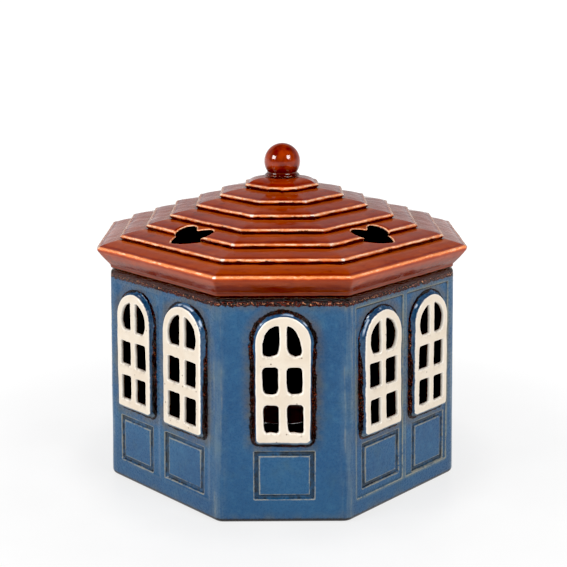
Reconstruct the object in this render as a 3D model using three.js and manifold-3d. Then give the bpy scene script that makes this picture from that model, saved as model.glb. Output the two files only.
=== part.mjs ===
// House-shaped ceramic tea light holder.
// Millimetres, +Z up, origin at the centre of the underside, front face towards -Y.
//
// Plan: an octagon with four short sides (front, right, back, left) and four
// long sides between them. A short side carries one arched window, a long side
// two. The stepped roof lifts off and carries a ball knob. A tea light stands
// on the floor inside.

import * as THREE from 'three';
import { mergeVertices } from 'three/addons/utils/BufferGeometryUtils.js';
import Module from 'manifold-3d';

const wasm = await Module();
wasm.setup();

// ---------------------------------------------------------------- dimensions
const GAP = 0.3;                 // clearance between touching pieces

// house body: half depth to the short sides and width of the short sides
const BASE_D = 80.0, BASE_S = 56.0;      // at the underside
const RIM_D = 77.2, RIM_S = 54.4;        // at the rim, the walls lean in
const RIM_Z = 99.2;                      // rim height
const WALL = 5.0;                        // wall thickness
const FLOOR = 6.0;                       // floor thickness
const EDGE_R = 2.4;                      // rounding of the upright edges
const BASE_R = 3.0;                      // rounding of the base edge
const RIM_R = 1.5;                       // rounding of the rim

// arched windows
const WIN_HW = 11.6;                     // half width of the frame front
const WIN_BOTTOM = 37.7;
const WIN_ARCH_SHORT = 80.6;             // centre of the arch, short sides
const WIN_ARCH_LONG = 79.7;              // centre of the arch, long sides
const WIN_RELIEF = 2.9;                  // how far a frame stands off its seat
const WIN_DRAFT = 1.8;                   // how much wider its foot is
const WIN_PLUG = 2.5;                    // tongue that enters the wall
const WIN_U = 16.2;                      // offset of the windows on a long side
const PANE_IN = 1.85, PANE_OUT = 8.3;    // panes, from the middle of the frame
const PANE_ROWS = [[42.5, 54.3], [59.3, 70.3]];
const PANE_TOP = 75.7;                   // foot of the arched panes
const PANE_ARCH_R = 8.3;

// sunken bays of the long sides, and the moulded panels under the windows
const BAY_U = [1.6, 31.4], BAY_W = [8.9, 94.0], BAY_DEPTH = 0.6;
const PANEL_W = [10.5, 32.4], PANEL_HW_SHORT = 13.2, PANEL_HW_LONG = 11.7;
const PANEL_GROOVE = 2.4, PANEL_DEPTH = 0.9;

// roof: edges of the seven overlapping courses as [half depth, short width, height]
const LIPS = [
  [83.0, 55.8, 109.1],
  [72.7, 50.0, 113.7],
  [61.3, 41.8, 117.6],
  [50.8, 35.2, 121.6],
  [39.3, 27.0, 125.5],
  [28.4, 20.8, 129.7],
  [16.9, 12.8, 133.7],
];
const RISER = 1.4, UNDERCUT = 0.5;       // step under each edge
const CAP_D = 8.6, CAP_S = 7.1, CAP_Z = 138.0;
const SEAT_Z = RIM_Z + GAP;              // underside of the roof on the rim
const SKIRT_D = RIM_D - WALL - 1.2;      // locating skirt inside the rim
const SKIRT_T = 3.4, SKIRT_DROP = 5.0;
const VENT_R = 56.8, VENT_Z = 117.8;     // centre of the heart-shaped vents

// ball knob
const KNOB_R = 8.15, KNOB_Z = 143.9, KNOB_NECK_R = 6.9, KNOB_FOOT_R = 7.5;

// tea light
const CUP_R = 19.0, CUP_H = 15.0, CUP_T = 0.5;
const WAX_TOP = 12.6;                    // above the underside of the cup
const TEA_Z = FLOOR + GAP;

// ---------------------------------------------------------------- helpers
const DEG = Math.PI / 180;

function toManifold(geometry) {
  let g = geometry.clone();
  g.deleteAttribute('normal');
  if (g.getAttribute('uv')) g.deleteAttribute('uv');
  g = mergeVertices(g, 1e-4);
  const mesh = new wasm.Mesh({
    numProp: 3,
    vertProperties: new Float32Array(g.getAttribute('position').array),
    triVerts: new Uint32Array(g.getIndex().array),
  });
  return new wasm.Manifold(mesh);
}

function toGeometry(solid) {
  const m = solid.getMesh();
  const g = new THREE.BufferGeometry();
  g.setAttribute('position', new THREE.BufferAttribute(new Float32Array(m.vertProperties), 3));
  g.setIndex(new THREE.BufferAttribute(new Uint32Array(m.triVerts), 1));
  g.computeVertexNormals();
  return g;
}

// octagon with alternating short and long sides and rounded corners,
// anticlockwise from the front side's right-hand corner
function octagon(D, s, r, n = 2) {
  const h = s / 2;
  const corners = [
    [h, -D], [D, -h], [D, h], [h, D], [-h, D], [-D, h], [-D, -h], [-h, -D],
  ];
  const pts = [];
  for (let i = 0; i < 8; i++) {
    const [px, py] = corners[(i + 7) % 8], [x, y] = corners[i], [nx, ny] = corners[(i + 1) % 8];
    const t = r * Math.tan(22.5 * DEG);
    const a = new THREE.Vector2(px - x, py - y).normalize();
    const b = new THREE.Vector2(nx - x, ny - y).normalize();
    const bis = a.clone().add(b).normalize();
    const c = new THREE.Vector2(x, y).addScaledVector(bis, r / Math.cos(22.5 * DEG));
    const from = new THREE.Vector2(x, y).addScaledVector(a, t).sub(c);
    for (let k = 0; k <= n; k++) {
      const ang = 45 * DEG * k / n;
      pts.push(new THREE.Vector2(
        c.x + from.x * Math.cos(ang) - from.y * Math.sin(ang),
        c.y + from.x * Math.sin(ang) + from.y * Math.cos(ang)));
    }
  }
  return pts;
}

// solid through a stack of outlines: an extrusion whose layers are moved onto
// the outlines, rings = [{ pts, z }]
function stack(rings) {
  const base = rings.reduce((a, b) => (a.area > b.area ? a : b), rings[0]).pts;
  const n = rings.length - 1;
  const g = new THREE.ExtrudeGeometry(new THREE.Shape(base), {
    depth: n, steps: n, bevelEnabled: false, curveSegments: 1,
  });
  const key = (x, y) => `${x.toFixed(3)},${y.toFixed(3)}`;
  const find = new Map(base.map((p, i) => [key(p.x, p.y), i]));
  const pos = g.getAttribute('position');
  for (let i = 0; i < pos.count; i++) {
    const k = find.get(key(pos.getX(i), pos.getY(i)));
    const ring = rings[Math.round(pos.getZ(i))];
    pos.setXYZ(i, ring.pts[k].x, ring.pts[k].y, ring.z);
  }
  return g;
}

// octagonal ring inset by t from half depth D and short width s
const SHRINK = 2 * Math.tan(22.5 * DEG);
const inset = (D, s, t, z, r, n) => ({ pts: octagon(D - t, s - SHRINK * t, r, n), z });

// outline of the wall at height z
function wallAt(z, t, r, n) {
  const f = z / RIM_Z;
  return inset(BASE_D + (RIM_D - BASE_D) * f, BASE_S + (RIM_S - BASE_S) * f, t, z, r, n);
}

// a side of the house as a frame of reference: x along the side, y up the
// wall, z outwards, origin at the foot of the wall
function sideMatrix(angle, long) {
  const d = (D, s) => (long ? (D + s / 2) / Math.SQRT2 : D);
  const d0 = d(BASE_D, BASE_S), d1 = d(RIM_D, RIM_S);
  const lean = Math.atan2(d0 - d1, RIM_Z);
  const c = Math.cos(angle), s = Math.sin(angle);
  const e = new THREE.Vector3(-s, c, 0);
  const nrm = new THREE.Vector3(c * Math.cos(lean), s * Math.cos(lean), Math.sin(lean));
  const w = new THREE.Vector3(-c * Math.sin(lean), -s * Math.sin(lean), Math.cos(lean));
  const m = new THREE.Matrix4().makeBasis(e, w, nrm);
  m.setPosition(d0 * c, d0 * s, 0);
  return m;
}

const SIDES = [
  ['front', -90, false], ['front_right', -45, true], ['right', 0, false], ['back_right', 45, true],
  ['back', 90, false], ['back_left', 135, true], ['left', 180, false], ['front_left', 225, true],
];

// arched outline grown by o on every side
function arch(hw, bottom, centre, o = 0, n = 20) {
  const pts = [new THREE.Vector2(-hw - o, bottom - o), new THREE.Vector2(hw + o, bottom - o)];
  for (let i = 0; i <= n; i++) {
    const a = Math.PI * i / n;
    pts.push(new THREE.Vector2((hw + o) * Math.cos(a), centre + (hw + o) * Math.sin(a)));
  }
  return pts;
}

function prism(pts, z0, z1) {
  const g = new THREE.ExtrudeGeometry(new THREE.Shape(pts), {
    depth: z1 - z0, bevelEnabled: false, steps: 1, curveSegments: 1,
  });
  g.translate(0, 0, z0);
  return g;
}

const rect = (x0, y0, x1, y1) => [
  new THREE.Vector2(x0, y0), new THREE.Vector2(x1, y0), new THREE.Vector2(x1, y1), new THREE.Vector2(x0, y1),
];

function box(x0, x1, y0, y1, z0, z1) {
  const g = new THREE.BoxGeometry(x1 - x0, y1 - y0, z1 - z0);
  g.translate((x0 + x1) / 2, (y0 + y1) / 2, (z0 + z1) / 2);
  return g;
}

function onSide(geometry, matrix) {
  return toManifold(geometry.clone().applyMatrix4(matrix));
}

const root = new THREE.Group();
function add(name, geometry, colour, roughness, metalness = 0, parent = root) {
  const mesh = new THREE.Mesh(geometry, new THREE.MeshStandardMaterial({
    color: colour, roughness, metalness, flatShading: true,
  }));
  mesh.name = name;
  parent.add(mesh);
  return mesh;
}

// ---------------------------------------------------------------- house body
{
  const outer = toManifold(stack([
    wallAt(0, BASE_R, EDGE_R, 2),
    { ...wallAt(0, BASE_R * 0.3, EDGE_R, 2), z: BASE_R * 0.3 },
    wallAt(BASE_R, 0, EDGE_R, 2),
    wallAt(RIM_Z - RIM_R, 0, EDGE_R, 2),
    { ...wallAt(RIM_Z, RIM_R * 0.3, EDGE_R, 2), z: RIM_Z - RIM_R * 0.3 },
    { ...wallAt(RIM_Z, RIM_R, EDGE_R, 2), z: RIM_Z },
  ]));
  const hollow = toManifold(stack([
    wallAt(FLOOR, WALL + 2, 2, 2),
    { ...wallAt(FLOOR, WALL, 2, 2), z: FLOOR + 2 },
    wallAt(RIM_Z + 4, WALL, 2, 2),
  ]));
  let body = outer.subtract(hollow);
  for (const [, deg, long] of SIDES) {
    const m = sideMatrix(deg * DEG, long);
    const centre = long ? WIN_ARCH_LONG : WIN_ARCH_SHORT;
    const seat = long ? -BAY_DEPTH : 0;
    if (long) {
      for (const s of [-1, 1]) {
        const u = [s * BAY_U[0], s * BAY_U[1]].sort((a, b) => a - b);
        body = body.subtract(onSide(box(u[0], u[1], BAY_W[0], BAY_W[1], -BAY_DEPTH, 5), m));
      }
    }
    const hw = long ? PANEL_HW_LONG : PANEL_HW_SHORT;
    for (const u of long ? [-WIN_U, WIN_U] : [0]) {
      const outerPanel = onSide(box(u - hw, u + hw, PANEL_W[0], PANEL_W[1], seat - PANEL_DEPTH, 5), m);
      const innerPanel = onSide(box(u - hw + PANEL_GROOVE, u + hw - PANEL_GROOVE,
        PANEL_W[0] + PANEL_GROOVE, PANEL_W[1] - PANEL_GROOVE, seat - PANEL_DEPTH - 1, 6), m);
      body = body.subtract(outerPanel.subtract(innerPanel));
      const opening = prism(arch(WIN_HW, WIN_BOTTOM, centre, 2 * GAP), -12, 8);
      opening.translate(u, 0, 0);
      body = body.subtract(onSide(opening, m));
    }
  }
  add('house_body', toGeometry(body), 0x36649a, 0.32);
}

// ---------------------------------------------------------------- window frames
// local frame: x across, y up, z outwards with zero on the frame's own foot
function windowFrame(centre) {
  const ring = (o, z) => ({ pts: arch(WIN_HW, WIN_BOTTOM, centre, o), z });
  let frame = toManifold(stack([
    ring(WIN_DRAFT, 0), ring(0.45, WIN_RELIEF - 0.8), ring(0.1, WIN_RELIEF - 0.25), ring(-0.3, WIN_RELIEF),
  ]));
  frame = frame.add(toManifold(prism(arch(WIN_HW, WIN_BOTTOM, centre, GAP), -WIN_PLUG, 0.5)));
  const r = 1.3;
  const pane = (s, y0, y1) => {
    const x0 = s * PANE_IN, x1 = s * PANE_OUT;
    const p = [[x0 + s * r, y0], [x1 - s * r, y0], [x1, y0 + r], [x1, y1], [x0, y1], [x0, y0 + r]];
    return p.map(([x, y]) => new THREE.Vector2(x, y));
  };
  const cuts = [];
  for (const s of [-1, 1]) {
    for (const [y0, y1] of PANE_ROWS) cuts.push(pane(s, y0, y1));
    const top = [[s * (PANE_IN + r), PANE_TOP], [s * (PANE_OUT - r), PANE_TOP], [s * PANE_OUT, PANE_TOP + r]];
    const c = centre - 0.8, a1 = Math.acos(PANE_IN / PANE_ARCH_R);
    for (let i = 0; i <= 8; i++) {
      const a = a1 * i / 8;
      top.push([s * PANE_ARCH_R * Math.cos(a), c + PANE_ARCH_R * Math.sin(a)]);
    }
    top.push([s * PANE_IN, PANE_TOP + r]);
    cuts.push(top.map(([x, y]) => new THREE.Vector2(x, y)));
  }
  for (const c of cuts) frame = frame.subtract(toManifold(prism(c, -8, 8)));
  return toGeometry(frame);
}

{
  const shortFrame = windowFrame(WIN_ARCH_SHORT);
  const longFrame = windowFrame(WIN_ARCH_LONG);
  for (const [name, deg, long] of SIDES) {
    const side = new THREE.Group();
    sideMatrix(deg * DEG, long).decompose(side.position, side.quaternion, side.scale);
    root.add(side);
    const seat = (long ? -BAY_DEPTH : 0) + GAP;
    if (long) {
      for (const [tag, u] of [['a', -WIN_U], ['b', WIN_U]]) {
        add(`window_${name}_${tag}`, longFrame.clone(), 0xf3e6d2, 0.35, 0, side).position.set(u, 0, seat);
      }
    } else {
      add(`window_${name}`, shortFrame.clone(), 0xf3e6d2, 0.35, 0, side).position.set(0, 0, seat);
    }
  }
}

// ---------------------------------------------------------------- roof
{
  const rings = [];
  const foot = [RIM_D - 0.1, RIM_S, SEAT_Z];
  rings.push(inset(foot[0], foot[1], 1.3, SEAT_Z, 1.6, 2));
  rings.push({ ...inset(foot[0], foot[1], 0.35, 0, 2.0, 2), z: SEAT_Z + 0.5 });
  rings.push({ ...inset(foot[0], foot[1], 0, 0, 2.2, 2), z: SEAT_Z + 1.5 });
  rings.push({ ...inset(LIPS[0][0], LIPS[0][1], 0.25, 0, 1.2, 2), z: LIPS[0][2] - 0.9 });
  rings.push(inset(LIPS[0][0], LIPS[0][1], 0, LIPS[0][2] - 0.35, 1.0, 2));
  rings.push(inset(LIPS[0][0], LIPS[0][1], 0.5, LIPS[0][2], 0.9, 2));
  for (let k = 1; k < LIPS.length; k++) {
    const [D, s, z] = LIPS[k];
    rings.push(inset(D, s, UNDERCUT, z - RISER, 0.8, 2));
    rings.push(inset(D, s, 0, z - 0.45, 0.8, 2));
    rings.push(inset(D, s, 0.5, z, 0.7, 2));
  }
  rings.push(inset(CAP_D, CAP_S, 0, CAP_Z - 0.2, 0.6, 2));
  rings.push(inset(CAP_D, CAP_S, 0.5, CAP_Z, 0.6, 2));
  let roof = toManifold(stack(rings));

  // locating skirt, one solid with the roof
  const skirt = toManifold(stack([
    inset(SKIRT_D, RIM_S - SHRINK * (RIM_D - SKIRT_D), 0.8, SEAT_Z - SKIRT_DROP, 2, 2),
    inset(SKIRT_D, RIM_S - SHRINK * (RIM_D - SKIRT_D), 0, SEAT_Z - SKIRT_DROP + 0.8, 2, 2),
    inset(SKIRT_D, RIM_S - SHRINK * (RIM_D - SKIRT_D), 0, SEAT_Z + 1, 2, 2),
  ]));
  roof = roof.add(skirt);

  // hollow of the roof
  const hs = RIM_S - SHRINK * (RIM_D - SKIRT_D + SKIRT_T);
  const hd = SKIRT_D - SKIRT_T;
  const hollow = toManifold(stack([
    inset(hd, hs, 0, SEAT_Z - SKIRT_DROP - 1, 2, 2),
    inset(hd, hs, 0, SEAT_Z + 0.5, 2, 2),
    inset(hd, hs, -5.2, SEAT_Z + 6, 2, 2),
    inset(hd, hs, -5.2, SEAT_Z + 7.4, 2, 2),
    { pts: octagon(13.0, 9.6, 0.8, 2), z: 129.8 },
  ]));
  roof = roof.subtract(hollow);

  // heart-shaped vents through the long slopes, tip towards the eave
  for (const [name, deg, long] of SIDES) {
    if (!long) continue;
    // tip leaning towards the right or left side of the house
    const mirror = name === 'front_right' || name === 'back_left' ? 1 : -1;
    const slope = Math.atan2(LIPS[3][2] - LIPS[1][2], 20.7);
    const pts = heart(mirror);
    const g = prism(pts, -16, 14);
    const c = Math.cos(deg * DEG), s = Math.sin(deg * DEG);
    const e = new THREE.Vector3(-s, c, 0);
    const up = new THREE.Vector3(-c * Math.cos(slope), -s * Math.cos(slope), Math.sin(slope));
    const n = new THREE.Vector3().crossVectors(e, up);
    const m = new THREE.Matrix4().makeBasis(e, up, n);
    m.setPosition(c * VENT_R, s * VENT_R, VENT_Z);
    roof = roof.subtract(onSide(g, m));
  }
  add('roof_lid', toGeometry(roof), 0x8a3a1c, 0.2);
}

// hand-cut heart outline: x along the eave, y up the slope
function heart(mirror) {
  const outline = [
    [-3.5, -8.7], [-5.9, -6.3], [-8.0, -2.6], [-9.1, 1.4], [-8.5, 5.9], [-6.2, 8.6], [-2.9, 7.7],
    [1.1, 3.6], [3.0, 6.4], [6.2, 8.2], [9.0, 6.0], [9.6, 2.9], [9.0, -0.2], [7.6, -2.4],
    [5.0, -5.0], [1.4, -7.4],
  ];
  const out = outline.map(([x, y]) => new THREE.Vector2(-mirror * x, y));
  return THREE.ShapeUtils.isClockWise(out) ? out.reverse() : out;
}

// ---------------------------------------------------------------- knob
{
  const pts = [new THREE.Vector2(0, CAP_Z + GAP), new THREE.Vector2(KNOB_FOOT_R, CAP_Z + GAP)];
  pts.push(new THREE.Vector2(KNOB_NECK_R, CAP_Z + GAP + 0.9));
  const a0 = -Math.acos(KNOB_NECK_R / KNOB_R);
  for (let i = 0; i <= 14; i++) {
    const a = a0 + (Math.PI / 2 - a0) * i / 14;
    pts.push(new THREE.Vector2(i === 14 ? 0 : KNOB_R * Math.cos(a), KNOB_Z + KNOB_R * Math.sin(a)));
  }
  const g = new THREE.LatheGeometry(pts, 32);
  g.rotateX(Math.PI / 2);
  add('roof_knob', toGeometry(toManifold(g)), 0x8a3a1c, 0.15);
}

// ---------------------------------------------------------------- tea light
function lathe(profile, segments) {
  const g = new THREE.LatheGeometry(profile.map(([r, z]) => new THREE.Vector2(r, z)), segments);
  g.rotateX(Math.PI / 2);
  return toGeometry(toManifold(g));
}
{
  const tea = new THREE.Group();
  tea.position.set(0, 0, TEA_Z);
  root.add(tea);

  add('tealight_cup', lathe([
    [0, 0], [CUP_R - 0.8, 0], [CUP_R, 0.8], [CUP_R, CUP_H - 0.7], [CUP_R + 0.6, CUP_H - 0.4],
    [CUP_R + 0.6, CUP_H], [CUP_R - CUP_T, CUP_H], [CUP_R - CUP_T, 1.1], [CUP_R - 1.1, CUP_T], [0, CUP_T],
  ], 48), 0xc8cacc, 0.3, 1.0, tea);

  const z0 = CUP_T + GAP;
  add('tealight_wax', lathe([
    [7.1, z0], [CUP_R - 1.5, z0], [CUP_R - CUP_T - GAP, z0 + 0.8], [CUP_R - CUP_T - GAP, WAX_TOP],
    [1.5, WAX_TOP - 0.4], [1.5, 5.0], [2.3, 4.2], [2.3, 1.7], [7.1, 1.7], [7.1, z0],
  ], 48), 0x4a2418, 0.5, 0, tea);

  add('wick_sustainer', lathe([
    [1.2, z0], [6.6, z0], [6.6, z0 + 0.5], [2.0, z0 + 0.5], [2.0, 3.9], [1.2, 3.9], [1.2, z0],
  ], 32), 0xb9bcc0, 0.35, 1.0, tea);

  add('wick', lathe([
    [0, z0 + 0.1], [0.85, z0 + 0.1], [0.85, WAX_TOP + 6.4], [0.55, WAX_TOP + 7.0], [0, WAX_TOP + 7.0],
  ], 16), 0xe9e3d2, 0.9, 0, tea);
}

export default root;
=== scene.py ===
import bpy, math
import numpy as np
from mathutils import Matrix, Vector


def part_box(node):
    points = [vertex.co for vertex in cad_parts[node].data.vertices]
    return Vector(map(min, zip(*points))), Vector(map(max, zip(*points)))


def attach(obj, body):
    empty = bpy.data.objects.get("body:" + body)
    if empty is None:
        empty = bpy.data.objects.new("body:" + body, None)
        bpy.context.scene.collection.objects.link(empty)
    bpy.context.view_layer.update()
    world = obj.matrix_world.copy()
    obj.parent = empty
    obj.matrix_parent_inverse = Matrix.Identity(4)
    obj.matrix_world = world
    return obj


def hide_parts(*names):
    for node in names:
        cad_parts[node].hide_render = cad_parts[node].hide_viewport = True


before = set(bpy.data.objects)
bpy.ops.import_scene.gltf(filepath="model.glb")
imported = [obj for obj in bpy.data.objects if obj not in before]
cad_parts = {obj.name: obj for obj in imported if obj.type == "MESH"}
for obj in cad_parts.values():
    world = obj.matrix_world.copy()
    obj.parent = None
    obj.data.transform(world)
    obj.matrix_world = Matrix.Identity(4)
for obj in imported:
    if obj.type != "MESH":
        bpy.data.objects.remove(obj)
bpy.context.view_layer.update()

MM = 0.001
RT2 = math.sqrt(2.0)

# ------------------------------------------------------------------ dimensions, in millimetres, as in the CAD
BASE_D, BASE_S = 80.0, 56.0
RIM_D, RIM_S, RIM_Z = 77.2, 54.4, 99.2
WALL, FLOOR = 5.0, 6.0
WIN_HW, WIN_BOTTOM = 11.6, 37.7
ARCH_SHORT, ARCH_LONG = 80.6, 79.7
RELIEF, WIN_U = 2.9, 16.2
# sideways shift, half width and height of the arch's centre that differ on the long sides
FRAMES = {(5, 0): (-1.0, -0.2, -0.2), (5, 1): (-0.6, 0.7, 0.1), (7, 0): (0.4, 0.4, -1.1), (7, 1): (0.8, 0.0, -0.6)}
FRAMES.update({(k - 4, i): v for (k, i), v in list(FRAMES.items())})
LIPS = [(83.0, 55.8, 109.1), (72.7, 50.0, 113.7), (61.3, 41.8, 117.6), (50.8, 35.2, 121.6),
        (39.3, 27.0, 125.5), (28.4, 20.8, 129.7), (16.9, 12.8, 133.7)]
CAP = (8.6, 7.1, 138.0)
CAP_TOP = 136.6
SHORT_INSET = 0.828
PHI = [0, 45, 90, 135, 180, 225, 270, 315]      # outward direction of each side, degrees
SIDES = ["right", "back_right", "back", "back_left", "left", "front_left", "front", "front_right"]


# ------------------------------------------------------------------ noise
def _hash(i, j, k, seed):
    h = (i.astype(np.uint32) * np.uint32(374761393)) ^ (j.astype(np.uint32) * np.uint32(668265263)) \
        ^ (k.astype(np.uint32) * np.uint32(2246822519)) ^ np.uint32((seed * 3266489917) & 0xFFFFFFFF)
    h = (h ^ (h >> np.uint32(15))) * np.uint32(2246822519)
    h = (h ^ (h >> np.uint32(13))) * np.uint32(3266489917)
    h = h ^ (h >> np.uint32(16))
    return h.astype(np.float64) / 4294967295.0


def vnoise(p, size, seed=0):
    """Smooth value noise from -1 to 1 of the points p, with cells of that size."""
    q = np.asarray(p, float) / size + 731.0
    b = np.floor(q)
    f = q - b
    f = f * f * f * (f * (f * 6 - 15) + 10)
    b = b.astype(np.int64)
    out = np.zeros(len(q))
    for dx in (0, 1):
        wx = f[:, 0] if dx else 1 - f[:, 0]
        for dy in (0, 1):
            wy = f[:, 1] if dy else 1 - f[:, 1]
            for dz in (0, 1):
                wz = f[:, 2] if dz else 1 - f[:, 2]
                out += wx * wy * wz * _hash(b[:, 0] + dx, b[:, 1] + dy, b[:, 2] + dz, seed)
    return out * 2 - 1


def fbm(p, size, octaves=3, seed=0):
    total, amp, norm = 0.0, 1.0, 0.0
    for o in range(octaves):
        total = total + amp * vnoise(p, size / 2 ** o, seed + 17 * o)
        norm += amp
        amp *= 0.5
    return total / norm


def smooth(x, a, b):
    t = np.clip((np.asarray(x, float) - a) / (b - a), 0, 1)
    return t * t * (3 - 2 * t)


# ------------------------------------------------------------------ mesh helpers
class Soup:
    """Vertices with named values, and faces of any number of corners."""

    def __init__(self):
        self.v, self.a, self.f, self.n = [], {}, [], 0

    def add(self, pts, **attrs):
        pts = np.asarray(pts, float).reshape(-1, 3)
        first = self.n
        self.v.append(pts)
        self.n += len(pts)
        for k in set(list(attrs) + list(self.a)):
            col = self.a.setdefault(k, [np.zeros(first)] if first else [])
            col.append(np.broadcast_to(np.asarray(attrs.get(k, 0.0), float), (len(pts),)).copy())
        return first + np.arange(len(pts))

    def points(self):
        return np.concatenate(self.v)

    def attr(self, k):
        return np.concatenate(self.a[k])

    def face(self, rows):
        self.f.extend(rows)

    def quads(self, arr):
        self.f.append(np.asarray(arr, np.int64).reshape(-1, 4))

    def tris(self, arr):
        self.f.append(np.asarray(arr, np.int64).reshape(-1, 3))

    def polys(self, lists):
        by = {}
        for p in lists:
            by.setdefault(len(p), []).append(p)
        for k, rows in by.items():
            self.f.append(np.asarray(rows, np.int64))

    def build(self, name, collection=None):
        pts = self.points()
        corner, start, total, pos = [], [], [], 0
        for block in self.f:
            if not len(block):
                continue
            k = block.shape[1]
            corner.append(block.ravel())
            start.append(pos + np.arange(len(block)) * k)
            total.append(np.full(len(block), k))
            pos += len(block) * k
        corner, start, total = np.concatenate(corner), np.concatenate(start), np.concatenate(total)
        used = np.zeros(len(pts), bool)
        used[corner] = True
        remap = np.cumsum(used) - 1
        corner = remap[corner]
        me = bpy.data.meshes.new(name)
        me.vertices.add(int(used.sum()))
        me.vertices.foreach_set("co", (pts[used] * MM).astype(np.float32).ravel())
        me.loops.add(len(corner))
        me.loops.foreach_set("vertex_index", corner.astype(np.int32))
        me.polygons.add(len(start))
        me.polygons.foreach_set("loop_start", start.astype(np.int32))
        me.polygons.foreach_set("loop_total", total.astype(np.int32))
        me.polygons.foreach_set("use_smooth", np.ones(len(start), bool))
        for k in self.a:
            at = me.attributes.new(k, "FLOAT", "POINT")
            at.data.foreach_set("value", self.attr(k)[used].astype(np.float32))
        me.update(calc_edges=True)
        me.validate(verbose=False)
        ob = bpy.data.objects.new(name, me)
        bpy.context.scene.collection.objects.link(ob)
        return ob


def clip_quads(soup, quads, f):
    """Keeps the part of the quads where f (a value per soup vertex) is above 0. Adds the cut vertices to the soup with their values. Returns (list of face blocks, boundary edges)."""
    quads = np.asarray(quads, np.int64).reshape(-1, 4)
    inside = f > 0
    cnt = inside[quads].sum(1)
    whole = quads[cnt == 4]
    mixed = quads[(cnt > 0) & (cnt < 4)]
    pts = soup.points()
    names = list(soup.a)
    vals = {k: soup.attr(k) for k in names}
    cut, new_p, new_a = {}, [], {k: [] for k in names}
    base = soup.n
    polys, edges = [], []
    for q in mixed.tolist():
        poly = []
        for i in range(4):
            a, b = q[i], q[(i + 1) % 4]
            if inside[a]:
                poly.append(a)
            if inside[a] != inside[b]:
                key = (a, b) if a < b else (b, a)
                if key not in cut:
                    fa, fb = f[key[0]], f[key[1]]
                    t = min(max(fa / (fa - fb), 0.02), 0.98)
                    cut[key] = base + len(new_p)
                    new_p.append(pts[key[0]] * (1 - t) + pts[key[1]] * t)
                    for k in names:
                        new_a[k].append(vals[k][key[0]] * (1 - t) + vals[k][key[1]] * t)
                poly.append(cut[key])
        if len(poly) >= 3:
            polys.append(poly)
            for i in range(len(poly)):
                a, b = poly[i], poly[(i + 1) % len(poly)]
                if a >= base and b >= base:
                    edges.append((a, b))
    if new_p:
        soup.add(np.array(new_p), **{k: np.array(new_a[k]) for k in names})
    return whole, polys, edges


def chain(edges):
    """Closed loops of vertices from directed edges."""
    nxt = {a: b for a, b in edges}
    loops, seen = [], set()
    for a in list(nxt):
        if a in seen:
            continue
        loop, cur = [], a
        while cur not in seen and cur in nxt:
            seen.add(cur)
            loop.append(cur)
            cur = nxt[cur]
        if cur == loop[0] and len(loop) > 2:
            loops.append(loop)
    return loops


def stitch(soup, la, lb):
    """Triangles between two closed loops that run the same way round."""
    pts = soup.points()
    A, B = pts[la], pts[lb]
    k = int(np.argmin(((B - A[0]) ** 2).sum(1)))
    lb = lb[k:] + lb[:k]
    B = pts[lb]

    def arc(P):
        d = np.linalg.norm(np.roll(P, -1, 0) - P, axis=1)
        return np.concatenate([[0], np.cumsum(d)]) / d.sum()
    ta, tb = arc(A), arc(B)
    na, nb, i, j, out = len(la), len(lb), 0, 0, []
    while i < na or j < nb:
        if j >= nb or (i < na and ta[i + 1] <= tb[j + 1]):
            out.append([la[(i + 1) % na], la[i], lb[j % nb]])
            i += 1
        else:
            out.append([la[i % na], lb[j % nb], lb[(j + 1) % nb]])
            j += 1
    soup.tris(out)


def grid_quads(idx, wrap=True):
    """Quads of a grid of indices [row, column]; rows go up, columns anticlockwise seen from above, faces outwards."""
    a = idx[:-1]
    b = idx[1:]
    if wrap:
        a2, b2 = np.roll(a, -1, 1), np.roll(b, -1, 1)
    else:
        a, a2, b, b2 = a[:, :-1], a[:, 1:], b[:, :-1], b[:, 1:]
    return np.stack([a, a2, b2, b], -1).reshape(-1, 4)


def fan(ring, centre, flip=False):
    nx = np.roll(ring, -1)
    c = np.full(len(ring), centre)
    return np.stack([nx, ring, c] if flip else [ring, nx, c], 1)


def lathe(soup, prof, n, attrs=None, wobble=None):
    """A closed turned body; prof goes from the lowest point on the axis to the highest, round the outside."""
    prof = np.asarray(prof, float)
    th = np.arange(n) * 2 * math.pi / n
    mid = prof[1:-1]
    P = np.stack([mid[:, None, 0] * np.cos(th), mid[:, None, 0] * np.sin(th), np.repeat(mid[:, 1:2], n, 1)], -1)
    if wobble is not None:
        P = wobble(P, th)
    m = len(mid)
    at = {k: np.repeat(np.asarray(v)[1:-1], n) for k, v in (attrs or {}).items()}
    ids = soup.add(P.reshape(-1, 3), **at).reshape(m, n)
    ends = soup.add([[0, 0, prof[0, 1]], [0, 0, prof[-1, 1]]], **{k: np.array([v[0], v[-1]]) for k, v in (attrs or {}).items()})
    soup.quads(grid_quads(ids))
    soup.tris(fan(ids[0], ends[0], True))
    soup.tris(fan(ids[-1], ends[1]))
    return ids


# ------------------------------------------------------------------ octagon rings
def columns(fixed_short, fixed_long, uf_short, uf_long, narc=6, ends=2):
    """Column list as arrays: side, mode (0 at a fixed u, 1 between the fixed part and the corner, 2 on the corner arc), value."""
    side, mode, val = [], [], []
    for k in range(8):
        fx = fixed_long if k % 2 else fixed_short
        uf = uf_long if k % 2 else uf_short
        for t in np.linspace(-1, 0, ends + 1)[:-1]:
            side.append(k); mode.append(1); val.append(t)
        for u in fx:
            side.append(k); mode.append(0); val.append(u)
        for t in np.linspace(0, 1, ends + 1)[1:]:
            side.append(k); mode.append(1); val.append(t)
        for j in range(1, narc):
            side.append(k); mode.append(2); val.append(j / narc)
    return dict(side=np.array(side), mode=np.array(mode), val=np.array(val, float), uf=(uf_short, uf_long))


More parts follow.
